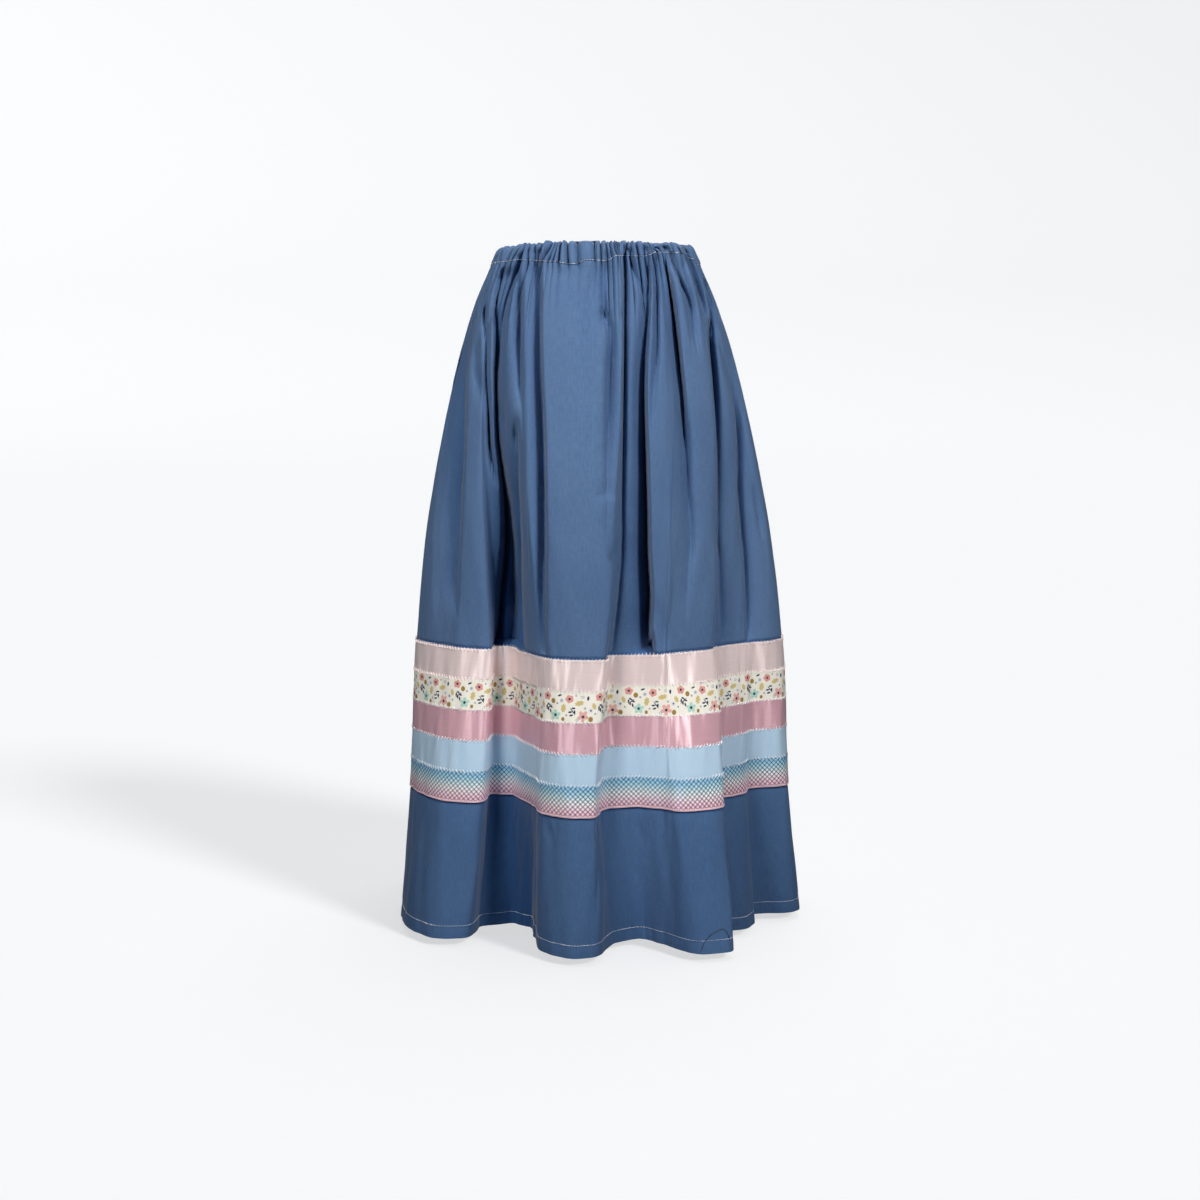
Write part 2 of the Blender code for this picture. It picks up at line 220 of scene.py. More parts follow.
# The suns' light comes from these places, softness degrees wide.
Sun = namedtuple("Sun", "name place softness strength")
SUNS = [
    Sun("shadow_sun", (4.1, -3.55, 4.2), 12.0, 1.95),
    Sun("ceiling_sun", (0.6, 2.0, 6.0), 45.0, 1.0),
]
for sun in SUNS:
    light = bpy.data.lights.new(sun.name, "SUN")
    light.angle = math.radians(sun.softness)
    light.energy = sun.strength
    shine(light, sun.place, (0.0, 0.0, 0.0), studio_only)

world = bpy.data.worlds.new("studio_air")
world.use_nodes = True
air = world.node_tree.nodes["Background"]
air.inputs["Color"].default_value = (0.50, 0.75, 1.0, 1.0)
air.inputs["Strength"].default_value = 0.05
bpy.context.scene.world = world


# ---- Front and back panels ----------------------------------------------------------------
# Two straight widths of dusty blue plain-weave cotton, joined at the sides, drawn in at the
# waist and left to fall. Each is one thin sheet; its turned-up hem shows only as a stitched groove
# near its lower edge.

# share runs 0 to 1 round the cloth from the side seam at -X by the front; depth is metres
# down from the waist.
SKIRT_LENGTH = 0.8475
CASING_HEIGHT = 0.022
RIBBON_WIDTH = 0.0375
RIBBON_TOP = 0.495
RIBBON_COUNT = 5
COTTON_WALL = 0.0007

# The skirt's plain section at each depth, with no folds: an ellipse.
Section = namedtuple("Section", "depth half_width half_depth")
SECTIONS = [
    Section(0.000, 0.118, 0.094),
    Section(0.022, 0.1285, 0.103),
    Section(0.070, 0.151, 0.119),
    Section(0.110, 0.165, 0.130),
    Section(0.150, 0.176, 0.138),
    Section(0.200, 0.1875, 0.146),
    Section(0.325, 0.211, 0.159),
    Section(0.495, 0.2308, 0.170),
    Section(0.685, 0.2390, 0.194),
    Section(0.8475, 0.254, 0.215),
]

# The large folds that hang from the hips, by where their lines run.
# turn: degrees round the section's ellipse, 0 in front and 90 at +X
# waist: at the casing; band: at the first ribbon's top; hem: at the hem
# reach: share of the ellipse's own distance from the axis
Fold = namedtuple("Fold", "name waist_turn band_turn band_reach hem_turn hem_reach")
FRONT_FOLDS = [
    Fold("left seam", -90, -90, 0.985, -90, 0.975),
    Fold("left lobe back", -82, -74, 1.02, -69, 1.055),
    Fold("left lobe crest", -74, -59, 0.98, -53, 1.13),
    Fold("left lobe front", -67, -49, 0.95, -44, 1.14),
    Fold("left lobe edge", -60, -40, 0.89, -38, 1.03),
    Fold("pocket turn", -54, -45, 0.75, -42, 0.79),
    Fold("pocket floor", -47, -38, 0.73, -38, 0.69),
    Fold("front lobe left foot", -37, -25, 0.89, -27, 0.76),
    Fold("front lobe left", -29, -13, 1.08, -14, 1.09),
    Fold("front lobe crest", -13, -5, 1.11, -5, 1.20),
    Fold("front lobe right", 6, 2, 1.10, 0, 1.16),
    Fold("front lobe right foot", 15, 5, 0.92, 6, 0.92),
    Fold("front valley", 22, 14, 0.93, 14, 0.86),
    Fold("right lobe left foot", 30, 21, 0.95, 19, 0.99),
    Fold("right lobe crest", 39, 27, 0.93, 24, 1.22),
    Fold("right lobe edge", 55, 41.5, 0.92, 31, 1.25),
    Fold("right notch", 64, 46, 0.87, 39.6, 0.935),
    Fold("outer shelf", 72, 54, 0.88, 50, 0.98),
    Fold("outer shelf edge", 76, 59, 0.90, 56, 0.955),
    Fold("side notch", 80, 64, 0.93, 64, 0.875),
    Fold("right side lobe", 85, 74, 1.04, 74, 1.065),
    Fold("right seam", 90, 90, 1.03, 90, 1.01),
]
BACK_FOLDS = [
    Fold("right back lobe", 101, 103, 1.05, 103, 1.06),
    Fold("right back valley", 113, 115, 0.95, 116, 0.84),
    Fold("second back foot", 121, 122, 0.95, 123, 0.88),
    Fold("second back lobe", 130, 129, 1.04, 129, 1.14),
    Fold("second back edge", 142, 141, 1.02, 142, 1.15),
    Fold("second back valley", 150, 149, 0.91, 150, 0.83),
    Fold("centre back foot", 158, 157, 0.93, 159, 0.84),
    Fold("centre back lobe", 166, 166, 1.06, 165, 1.15),
    Fold("centre back edge", 179, 179, 1.07, 180, 1.16),
    Fold("centre back valley", 189, 188, 0.93, 188, 0.86),
    Fold("fourth back lobe", 202, 203, 1.02, 203, 1.10),
    Fold("fourth back valley", 213, 213, 0.94, 214, 0.83),
    Fold("left back foot", 221, 221, 0.94, 222, 0.87),
    Fold("left back lobe", 230, 230, 1.03, 229, 1.14),
    Fold("left back edge", 242, 241, 1.02, 242, 1.13),
    Fold("left back valley", 251, 250, 0.93, 250, 0.86),
    Fold("left seam lobe", 261, 260, 1.00, 260, 1.01),
]

# Where the front lobe's right side is pulled sideways, over and below the ribbons: the middle
# of the pull and its half sizes by share and depth, and metres towards +X.
Pull = namedtuple("Pull", "share spread depth height amount")
LOBE_PULL = Pull(0.2555, 0.012, 0.655, 0.110, -0.009)

# The creases that hang from the gathers, by where they run. From here to the pinches, the
# tables give lengths and depths in millimetres and shares in thousandths. Each knot is a
# depth, the share there and how far the crease sinks. left and right are the widths of the
# crease's two sides: a narrow side is a sharp edge over a dark recess.
Crease = namedtuple("Crease", "name left right knots")
FRONT_CREASES = [
    Crease("left seam hollow", 9, 9, [(30, 12, 0), (120, 20, 5), (260, 30, 4), (380, 34, 0)]),
    Crease("left flank", 20, 1.8, [(60, 45, 0), (115, 70, 12), (145, 77, 20), (190, 85, 26),
        (240, 90.5, 28), (315, 90.5, 26), (400, 88, 14), (470, 87, 0)]),
    Crease("left fork", 1.5, 4, [(70, 90, 0), (80, 95, 14), (116, 113, 10), (150, 127, 10),
        (190, 137, 12), (225, 138, 18), (250, 139, 18), (276, 142.5, 10), (300, 147, 0)]),
    Crease("fork tuck", 5, 2.5, [(110, 91, 0), (126, 96.5, 7), (164, 106.5, 10), (185, 120, 6),
        (200, 130, 0)]),
    Crease("left lobe edge", 1.4, 9, [(26, 110, 0), (40, 117, 16), (72, 131, 20), (90, 138.4, 22),
        (166, 145.5, 24), (240, 147, 26), (290, 149.5, 34), (330, 149.5, 44), (386, 145, 50),
        (437, 139.5, 48), (492, 132, 36), (495, 131, 0)]),
    Crease("pocket floor", 9, 9, [(270, 158, 0), (330, 158, 12), (386, 156, 24), (437, 152, 32),
        (492, 148, 30), (495, 147, 0)]),
    Crease("left lobe lower edge", 1.3, 8, [(500, 131.5, 0), (540, 131, 7), (574, 127, 10),
        (616, 124.5, 12), (654, 124, 13), (684, 126, 14), (724, 127.5, 12), (760, 129, 10),
        (800, 126.8, 10), (850, 128.5, 8)]),
    Crease("second gather", 4, 2, [(20, 155, 4), (34, 153, 10), (62, 149.5, 15), (90, 148.5, 14),
        (128, 148.5, 8), (165, 148, 0)]),
    Crease("third gather", 7, 2, [(18, 153, 4), (46, 160, 14), (80, 166, 20), (116, 169.5, 22),
        (162, 174, 15), (200, 177, 0)]),
    Crease("pocket hook", 4, 3, [(188, 151, 0), (205, 154, 8), (218, 158, 13), (228, 166, 12),
        (240, 175, 0)]),
    Crease("pocket", 12, 2, [(210, 168, 0), (235, 170, 12), (262, 169.5, 20), (336, 169, 34),
        (386, 167.5, 46), (436, 165, 54), (492, 165, 42), (495, 165, 0)]),
    Crease("hem pocket", 16, 1.6, [(676, 183, 0), (712, 188.5, 10), (760, 193, 22), (802, 196, 30),
        (850, 200, 34)]),
    Crease("front lobe left edge", 11, 1.3, [(14, 196, 8), (40, 206, 18), (92, 212, 22),
        (140, 214.5, 26), (210, 217.5, 30), (282, 217.5, 30), (354, 215, 28), (402, 211.5, 25),
        (466, 206, 16), (492, 203, 0)]),
    Crease("front ridge step", 5, 10, [(26, 240.5, 0), (50, 240, 5), (92, 239, 4), (150, 238, 2),
        (230, 238, 0)]),
    Crease("front hollow", 5, 7, [(18, 246, 6), (35, 245.5, 12), (56, 244.6, 11), (75, 244.6, 14),
        (90, 245, 18), (105, 247, 14), (150, 247, 18), (200, 246.5, 16), (240, 246, 11),
        (280, 246, 7), (310, 246, 3), (345, 247, 6), (365, 250, 5), (390, 252, 0)]),
    Crease("front lobe right edge", 1.4, 4, [(14, 276, 10), (40, 274, 20), (70, 272, 22),
        (138, 271.5, 20), (234, 273, 16), (310, 275, 13), (374, 277, 12), (426, 276.5, 12),
        (460, 275.5, 12), (489, 274, 8), (495, 273.5, 0)]),
    Crease("front lobe lower edge", 1.3, 15, [(500, 268, 0), (530, 256, 5), (560, 253, 8),
        (600, 250.5, 11), (640, 249, 12), (684, 248.2, 12), (730, 247.5, 8), (770, 246.5, 3),
        (800, 246, 0)]),
    Crease("short tuck", 2, 5, [(18, 282, 8), (32, 284.5, 13), (48, 287, 13), (62, 293, 7),
        (74, 298, 0)]),
    Crease("right lobe left edge", 10, 1.5, [(14, 308, 8), (42, 303, 14), (62, 300, 17),
        (92, 296, 20), (120, 292.6, 26), (164, 290, 35), (212, 290, 42), (260, 291.2, 42),
        (324, 293, 38), (376, 294.5, 34), (428, 297.5, 32), (492, 301, 24), (495, 302, 0)]),
    Crease("front valley slope", 24, 1.5, [(200, 290, 0), (260, 291.2, 8), (324, 293, 18),
        (376, 294.5, 25), (428, 297.5, 30), (492, 301, 26), (495, 302, 0)]),
    Crease("right lobe foot", 12, 6, [(420, 299, 0), (450, 306, 5), (475, 314, 6), (494.5, 320, 0)]),
    Crease("right lobe hollow", 4, 3, [(20, 326, 0), (34, 318, 11), (70, 309, 15), (126, 303, 13),
        (186, 297, 6), (230, 295, 0)]),
    Crease("long right crease", 8, 1.8, [(14, 339, 8), (50, 336.5, 20), (78, 336.5, 30),
        (114, 336.5, 38), (150, 337, 36), (187, 338, 27), (223, 338, 15), (260, 339, 5),
        (300, 340, 0)]),
    Crease("right lobe trough", 10, 6, [(170, 338, 0), (240, 339.5, 16), (300, 340, 16),
        (350, 342, 13), (410, 341, 5), (470, 341, 0)]),
    Crease("slanting tuck", 2.5, 4, [(14, 341, 8), (36, 342, 20), (50, 344.5, 20), (68, 348, 16),
        (100, 347.5, 9), (135, 349, 0)]),
    Crease("second tuck", 2.5, 4, [(18, 351, 4), (34, 355.5, 13), (52, 364.5, 13), (68, 369.5, 8),
        (105, 374.5, 0)]),
    Crease("outer tuck", 2.5, 4, [(14, 380, 8), (35, 383, 12), (60, 385.5, 8), (110, 389, 0)]),
    Crease("shelf edge", 1.4, 6, [(36, 423, 0), (50, 416, 10), (78, 405.5, 20), (104, 392, 30),
        (142, 376, 34), (190, 372, 30), (240, 372, 22), (290, 375, 18), (372, 392, 15),
        (424, 399, 12), (480, 404, 9), (494.5, 405, 0)]),
    Crease("side edge", 1.4, 7, [(110, 408, 0), (142, 415.5, 8), (180, 426.5, 12), (210, 432, 18),
        (245, 429.5, 24), (290, 425, 22), (340, 427, 18), (390, 433, 15), (440, 435.5, 12),
        (484, 436.5, 9), (494.5, 436.5, 0)]),
    Crease("side fold", 3, 5, [(290, 455, 0), (320, 455.5, 6), (344, 457.5, 6), (365, 460.5, 0)]),
]

# The back's creases in brief: a trough starts at top, is deepest a third of the way down
# and is gone at foot.
Trough = namedtuple("Trough", "top_share foot_share top foot depth left right")
BACK_TROUGHS = [
    Trough(522, 518, 30, 300, 12, 6, 9), Trough(548, 552, 14, 470, 22, 2, 8),
    Trough(575, 569, 14, 210, 13, 3, 4), Trough(600, 607, 30, 390, 18, 10, 2.5),
    Trough(629, 622, 14, 494, 28, 2, 9), Trough(655, 662, 40, 240, 12, 3, 5),
    Trough(683, 680, 14, 450, 22, 10, 2), Trough(712, 705, 14, 210, 13, 3, 4),
    Trough(735, 743, 30, 480, 20, 2, 10), Trough(768, 764, 14, 260, 13, 4, 4),
    Trough(796, 803, 30, 430, 20, 11, 2.5), Trough(830, 826, 14, 494, 26, 2, 9),
    Trough(858, 865, 40, 220, 12, 3, 4), Trough(890, 884, 14, 440, 20, 9, 2),
    Trough(925, 932, 30, 310, 13, 5, 8), Trough(960, 955, 50, 420, 18, 3, 9),
]
TROUGH_SHAPE = [(0.0, 0.2), (0.15, 0.75), (0.35, 1.0), (0.7, 0.7), (1.0, 0.0)]


def crease_of(trough):
    """A trough's knots, as a crease."""
    down = trough.foot - trough.top
    lean = trough.foot_share - trough.top_share
    knots = [(trough.top + at * down, trough.top_share + at * lean, sunk * trough.depth)
             for at, sunk in TROUGH_SHAPE]
    return Crease("back crease", trough.left, trough.right, knots)


BACK_CREASES = [crease_of(trough) for trough in BACK_TROUGHS]
CREASE_SHARPNESS = 1.25       # 1 is a knife crease, 2 a soft trough
CREASE_SPREAD = 0.060         # no crease reaches further round than this share,
CREASE_SPREAD_FULL = 0.6      # and each begins to fade at this part of it
CREASE_START = 0.012          # metres in which a crease that is deep at its top begins

# The shares at which one gather ends and the next begins across the front.
FRONT_GATHERS = [
    0, 22, 45, 62, 77, 102, 116, 128.7, 141.4, 154.4, 163, 174, 188, 205.4, 213, 219.1, 224.8, 231.1,
    235.6, 241.5, 243.7, 246.7, 249.2, 255.1, 264, 275.2, 283.4, 293.8, 301.5, 308.8, 314.1, 328.1,
    335.5, 339.4, 345.5, 350.6, 357.5, 368, 378.5, 390, 405, 421.5, 441.5, 463.5,
]
BACK_GATHERS = 42
GATHER_UNEVENNESS = 0.38
GATHER_SHARPNESS = 3.4        # how tightly the valley between two gathers is pinched
GATHER_WIDTH = 0.0085         # metres across a full-height gather
GATHER_HEIGHT = 0.0122
GATHER_RUN = 0.075            # metres down from the casing to where a gather is gone
GATHER_RUN_SPREAD = 0.055
FULL_AT_SEAM = 0.8            # the gathers' least fullness where they leave the casing
FULL_AT_SEAM_FADE = 0.012

# How full the gathers stand, at each share.
FULLNESS = [
    (0, 0.7), (80, 0.8), (190, 0.8), (212, 0.3), (238, 0.3), (248, 0.8), (300, 0.8), (345, 1),
    (400, 0.9), (500, 0.7), (580, 1), (700, 0.7), (820, 1), (920, 0.8), (1000, 0.7),
]

# How far the casing's stitching strays from level, at each share: millimetres downwards.
SEAM_WANDER = [
    (0, 0), (60, -4), (150, -3), (200, 0.5), (220, 1.5), (234, 5), (239, 0), (246, 1), (252, -5),
    (300, -5), (325, -11), (352, -11), (385, -6), (430, 1), (500, 0), (560, -3), (640, 2), (700, -4),
    (780, 1), (850, -3), (930, 1), (1000, 0),
]
SEAM_WANDER_FADE = 0.070


def ease(t):
    """0 to 1, smooth at both ends."""
    t = np.clip(t, 0.0, 1.0)
    return t * t * (3.0 - 2.0 * t)


def bell(off, width):
    """1 at the middle, falling off to both sides."""
    return np.exp(-(off / width) ** 2)


def before(knots, at):
    """Number of the last knot that is not past each place in at."""
    return np.clip(np.searchsorted(knots, at, side="right") - 1, 0, len(knots) - 2)


def curve_through(knots, values, at):
    """A smooth curve through the values at the knots, read at the places in at."""
    steps = np.diff(knots)
    slopes = np.diff(values) / steps
    inner = (slopes[:-1] * steps[1:] + slopes[1:] * steps[:-1]) / (steps[:-1] + steps[1:])
    tangents = np.concatenate([slopes[:1], inner, slopes[-1:]])
    i = before(knots, at)
    t = (at - knots[i]) / steps[i]
    return (values[i] * (1 + 2 * t) * (1 - t) ** 2
            + values[i + 1] * t * t * (3 - 2 * t)
            + tangents[i] * steps[i] * t * (1 - t) ** 2
            - tangents[i + 1] * steps[i] * t * t * (1 - t))


def eased_through(knots, values, at):
    """Like curve_through, but level at each knot, so that it never swings past one."""
    i = before(knots, at)
    t = ease((at - knots[i]) / (knots[i + 1] - knots[i]))
    return values[i] + (values[i + 1] - values[i]) * t


def section_at(depth):
    """Half width and half depth of the plain section."""
    depths, half_widths, half_depths = np.array(SECTIONS).T
    return (curve_through(depths, half_widths, depth),
            curve_through(depths, half_depths, depth))


SEAM_AGAIN = Fold("left seam again", 270, 270, FRONT_FOLDS[0].band_reach,
                  270, FRONT_FOLDS[0].hem_reach)
FOLDS = FRONT_FOLDS + BACK_FOLDS + [SEAM_AGAIN]


def run_along(points):
    """Metres along a row of points, from its first."""
    return np.append(0.0, np.cumsum(np.linalg.norm(np.diff(points, axis=0), axis=1)))


def share_out(folds):
    """Shares of the folds' lines: each panel's hem, measured along its lobes, is one half."""
    half_sizes = np.array(section_at(np.array([SKIRT_LENGTH])))
    turns = np.radians([fold.hem_turn for fold in folds])
    reach = np.array([fold.hem_reach for fold in folds])
    run = run_along((reach * half_sizes * np.array([np.sin(turns), -np.cos(turns)])).T)
    seam = len(FRONT_FOLDS) - 1
    front = 0.5 * run[:seam + 1] / run[seam]
    back = 0.5 + 0.5 * (run[seam + 1:] - run[seam]) / (run[-1] - run[seam])
    return np.concatenate([front, back])


FOLD_SHARES = share_out(FOLDS)
OVERLAP = 3                   # fold lines repeated past each end of the round


def round_curve(kind, share, lap=0.0):
    """A closed smooth curve through every fold's value of one kind. lap is added each round."""
    values = np.array([getattr(fold, kind) for fold in FOLDS], dtype=float)
    last, first = slice(-1 - OVERLAP, -1), slice(1, 1 + OVERLAP)
    knots = np.concatenate([FOLD_SHARES[last] - 1, FOLD_SHARES, FOLD_SHARES[first] + 1])
    values = np.concatenate([values[last] - lap, values, values[first] + lap])
    return curve_through(knots, values, share)


def fold_form(share, depth):
    """Plan position of the cloth with its large folds only."""
    local = share % 1.0
    waist_turn, band_turn, hem_turn = [
        round_curve(kind, local, lap=360.0) for kind in ("waist_turn", "band_turn", "hem_turn")]
    band_reach, hem_reach = [round_curve(kind, local) for kind in ("band_reach", "hem_reach")]

    above = (depth - CASING_HEIGHT) / (RIBBON_TOP - CASING_HEIGHT)
    below = np.clip((depth - RIBBON_TOP) / (SKIRT_LENGTH - RIBBON_TOP), 0.0, 1.0)
    lower_turn = band_turn + (hem_turn - band_turn) * below
    lower_reach = band_reach + (hem_reach - band_reach) * below
    turn = waist_turn + (lower_turn - waist_turn) * np.clip(above, 0.0, 1.0)
    reach = 1.0 + (lower_reach - 1.0) * ease(above)

    half_width, half_depth = section_at(depth)
    angle = np.radians(turn)
    x = reach * half_width * np.sin(angle)
    pull = (bell(local - LOBE_PULL.share, LOBE_PULL.spread)
            * bell(depth - LOBE_PULL.depth, LOBE_PULL.height))
    return x + LOBE_PULL.amount * pull, -reach * half_depth * np.cos(angle)


def outward(share, depth):
    """Plan direction square to the cloth and out of the skirt, and metres for each share."""
    step = 0.0008
    x0, y0 = fold_form(share - step, depth)
    x1, y1 = fold_form(share + step, depth)
    length = np.hypot(x1 - x0, y1 - y0)
    return (y1 - y0) / length, -(x1 - x0) / length, length / (2 * step)


def gather_edges():
    """Shares at which one gather ends and the next begins, all round."""
    i = np.arange(BACK_GATHERS)
    widths = 1.0 + GATHER_UNEVENNESS * (0.62 * np.sin(2.39 * i) + 0.38 * np.sin(4.1 * i + 1.0))
    back = 0.5 + 0.5 * np.cumsum(widths) / widths.sum()
    return np.concatenate([0.001 * np.array(FRONT_GATHERS), [0.5], back])


GATHER_EDGES = gather_edges()


def gather_puff(share, depth, across):
    """Height of the puff between two gathers' valleys, and how far down the gather runs.

    across is metres for each share.
    """
    # Above the seam the gathers slant a little to both sides, and no two are of one size.
    above_seam = np.clip(CASING_HEIGHT - depth, 0.0, None)
    slant = 0.25 * np.sin(2 * math.pi * 13 * share) + 0.20 * np.sin(2 * math.pi * 31 * share + 1.0)
    local = (share + slant * above_seam / across) % 1.0
    i = before(GATHER_EDGES, local)
    width = GATHER_EDGES[i + 1] - GATHER_EDGES[i]
    phase = (local - GATHER_EDGES[i]) / width
    puff = 1.0 - np.abs(2 * phase - 1) ** GATHER_SHARPNESS
    slim = np.clip(width * across / GATHER_WIDTH, 0.25, 1.3)
    size = GATHER_HEIGHT * slim * (0.85 + 0.25 * np.sin(1.7 * i))
    return size * (puff - 0.6), GATHER_RUN + GATHER_RUN_SPREAD * np.sin(2.9 * i + 0.6)


def gather_height(share, depth, across):
    """How far the gathers lift the cloth."""
    puff, run = gather_puff(share, depth, across)
    shares, amounts = np.array(FULLNESS).T
    full = eased_through(0.001 * shares, amounts, share % 1.0)
    near_seam = 1.0 - ease((depth - CASING_HEIGHT) / FULL_AT_SEAM_FADE)
    full = full + np.maximum(FULL_AT_SEAM - full, 0.0) * near_seam
    return puff * full * (1.0 - ease((depth - CASING_HEIGHT) / run))


def crease_sink(crease, depth):
    """A crease's share and its sink in metres at each depth."""
    depths, shares, sinks = 0.001 * np.array(crease.knots).T
    path = curve_through(depths, shares, np.clip(depth, depths[0], depths[-1]))
    start = ease((depth - depths[0] + CREASE_START) / CREASE_START)
    return path, eased_through(depths, sinks, depth) * start * (depth <= depths[-1])


def crease_profile(crease, side):
    """1 at the crease's line, falling off on each side. side is in metres."""
    width = 0.001 * np.where(side < 0, crease.left, crease.right)
    return np.exp(-np.abs(side / width) ** CREASE_SHARPNESS)


def front_set_back(share, depth, x):
    """How far the front's creases move the cloth straight back from the plain section at x."""
    back = np.zeros(np.broadcast(share, depth).shape)
    for crease in FRONT_CREASES:
        path, sink = crease_sink(crease, depth)
        line_x = fold_form(path, depth)[0]
        far = np.abs(share % 1.0 - path) / CREASE_SPREAD
        near = 1.0 - ease((far - CREASE_SPREAD_FULL) / (1.0 - CREASE_SPREAD_FULL))
        back = back + sink * near * crease_profile(crease, x - line_x)
    return back


def back_crease_height(share, depth, across):
    """How far the back's creases sink the cloth."""
    height = np.zeros(np.broadcast(share, depth).shape)
    for crease in BACK_CREASES:
        path, sink = crease_sink(crease, depth)
        side = share - path
        side = across * (side - np.round(side))
        height = height - sink * crease_profile(crease, side)
    return height


WAIST_RISE = 0.0035
WAIST_SIDE_DIP = 0.0085
WAIST_TILT = 0.0012
WAIST_SET_FADE = 0.200
TOP_SCALLOP = 0.45            # rise of the top edge for each metre of puff
TOP_SCALLOP_FADE = 0.012


def waist_set(share, depth, across):
    """Height by which the waist's dip, its scallops and the wandering seam move the cloth."""
    angle = np.radians(-90.0 + 360.0 * share)
    left = 1.0 - ease(depth / WAIST_SET_FADE)
    dip = WAIST_RISE + WAIST_TILT * np.sin(angle) - WAIST_SIDE_DIP * np.sin(angle) ** 2
    shares, drops = 0.001 * np.array(SEAM_WANDER).T
    drop = eased_through(shares, drops, share % 1.0)
    near = np.where(depth < CASING_HEIGHT, np.clip(depth / CASING_HEIGHT, 0, 1),
                    1.0 - ease((depth - CASING_HEIGHT) / SEAM_WANDER_FADE))
    scallop = TOP_SCALLOP * gather_puff(share, depth, across)[0]
    scallop = scallop * (1.0 - ease(depth / TOP_SCALLOP_FADE))
    return left * dip + scallop - drop * near


# Soft unevenness of the hanging cloth: waves round the skirt and down it, and a height in
# millimetres at the hem.
Ripple = namedtuple("Ripple", "around down phase height")
RIPPLES = [
    Ripple(23, 2.1, 0.3, 0.55), Ripple(41, -3.4, 1.9, 0.40), Ripple(57, 5.2, 4.0, 0.32),
    Ripple(83, -7.5, 2.6, 0.22), Ripple(118, 9.0, 5.1, 0.14),
]


def ripple_height(share, depth):
    """How far the soft unevenness moves the cloth."""
    height = 0.0
    for ripple in RIPPLES:
        turn = 2 * math.pi * (ripple.around * share + ripple.down * depth) + ripple.phase
        height = height + 0.001 * ripple.height * np.sin(turn)
    return height * (0.35 + 0.65 * ease((depth - 0.10) / 0.60))


# Small pinches across the long folds: share and depth of the middle, half length and half
# width, lean in degrees from level, and how far they sink.
Pinch = namedtuple("Pinch", "share depth length width lean sink")
PINCHES = [
    Pinch(244.5, 296, 11, 4.5, -8, 3.5), Pinch(252, 374, 10, 4.5, -6, 3),
    Pinch(245, 86, 7, 5.5, 20, 2.8), Pinch(53, 704, 12, 2.6, 70, 1.4),
    Pinch(120, 704, 9, 2.4, -60, 1.6), Pinch(142, 712, 12, 2.6, 65, 1.8),
    Pinch(157, 708, 10, 2.2, -75, 1.4), Pinch(212, 702, 13, 3, 50, 2.1),
    Pinch(218, 698, 8, 2.2, -40, 1.4), Pinch(247, 700, 12, 2.6, -62, 1.8),
    Pinch(270, 696, 9, 2.4, 55, 1.6), Pinch(292.2, 714, 14, 3, 60, 2.2),
    Pinch(301, 706, 11, 2.5, -50, 1.9), Pinch(311, 698, 9, 2.4, 40, 1.8),
    Pinch(339, 702, 12, 2.8, -48, 1.9), Pinch(409.6, 700, 10, 2.4, 60, 1.6),
    Pinch(560, 705, 12, 2.8, 62, 1.8), Pinch(630, 700, 10, 2.4, -55, 1.6),
    Pinch(705, 708, 14, 3, 48, 2.1), Pinch(780, 698, 9, 2.2, -66, 1.4),
    Pinch(860, 706, 12, 2.6, 58, 1.9), Pinch(940, 701, 10, 2.4, -50, 1.6),
]

# Short upright puckers where the hem's stitching holds it in, by share.
HEM_PUCKERS = [165, 172, 179, 185, 279, 284.5, 289.5, 295, 300, 601, 608, 722, 863, 870]
PINCHES += [Pinch(share, 838, 9, 2, 84, 1.2) for share in HEM_PUCKERS]


def pinch_sink(share, depth, across):
    """How far the pinches sink the cloth."""
    total = np.zeros(np.broadcast(share, depth).shape)
    for pinch in PINCHES:
        lean = math.radians(pinch.lean)
        sideways = (share - 0.001 * pinch.share) * across
        down = depth - 0.001 * pinch.depth
        along = sideways * math.cos(lean) + down * math.sin(lean)
        off = down * math.cos(lean) - sideways * math.sin(lean)
        here = bell(along, 0.001 * pinch.length) * bell(off, 0.001 * pinch.width)
        total = total + 0.001 * pinch.sink * here
    return total


# The grooves that the hem's stitching and the ribbons' outer edges pull in.
HEM_STITCH_DEPTH = 0.8325
STITCH_SINK = 0.0007
STITCH_SINK_HALF_WIDTH = 0.003
RIBBON_EDGE_SINK = 0.0016
RIBBON_EDGE_GAP = 0.0012
RIBBON_EDGE_HALF_WIDTH = 0.0013


def edge_groove(depth):
    """1 in the middle of the groove beside each outer ribbon edge."""
    above = RIBBON_TOP - depth
    below = depth - RIBBON_TOP - RIBBON_COUNT * RIBBON_WIDTH
    outside = np.maximum(above, below)
    return bell(outside - RIBBON_EDGE_GAP, RIBBON_EDGE_HALF_WIDTH) * (outside > 0)


def groove_sink(depth):
    """How far the grooves sink the cloth."""
    hem = bell(depth - HEM_STITCH_DEPTH, STITCH_SINK_HALF_WIDTH)
    return STITCH_SINK * hem + RIBBON_EDGE_SINK * edge_groove(depth)


def cloth_at(share, depth, lift=0.0):
    """Points on the cloth's outer face, moved out by lift, for matching shares and depths."""
    x, y = fold_form(share, depth)
    nx, ny, across = outward(share, depth)
    height = (gather_height(share, depth, across) + back_crease_height(share, depth, across)
              + ripple_height(share, depth) - pinch_sink(share, depth, across)
              - groove_sink(depth) + lift)
    set_back = front_set_back(share, depth, x)
    z = waist_set(share, depth, across) - depth
    return np.stack([x + nx * height, y + ny * height + set_back, z + 0 * x], axis=-1)


def sheet_points(shares, depths, lift=0.0):
    """Grid of points on the cloth's outer face: a row for each depth."""
    return cloth_at(shares[None, :], depths[:, None], lift)


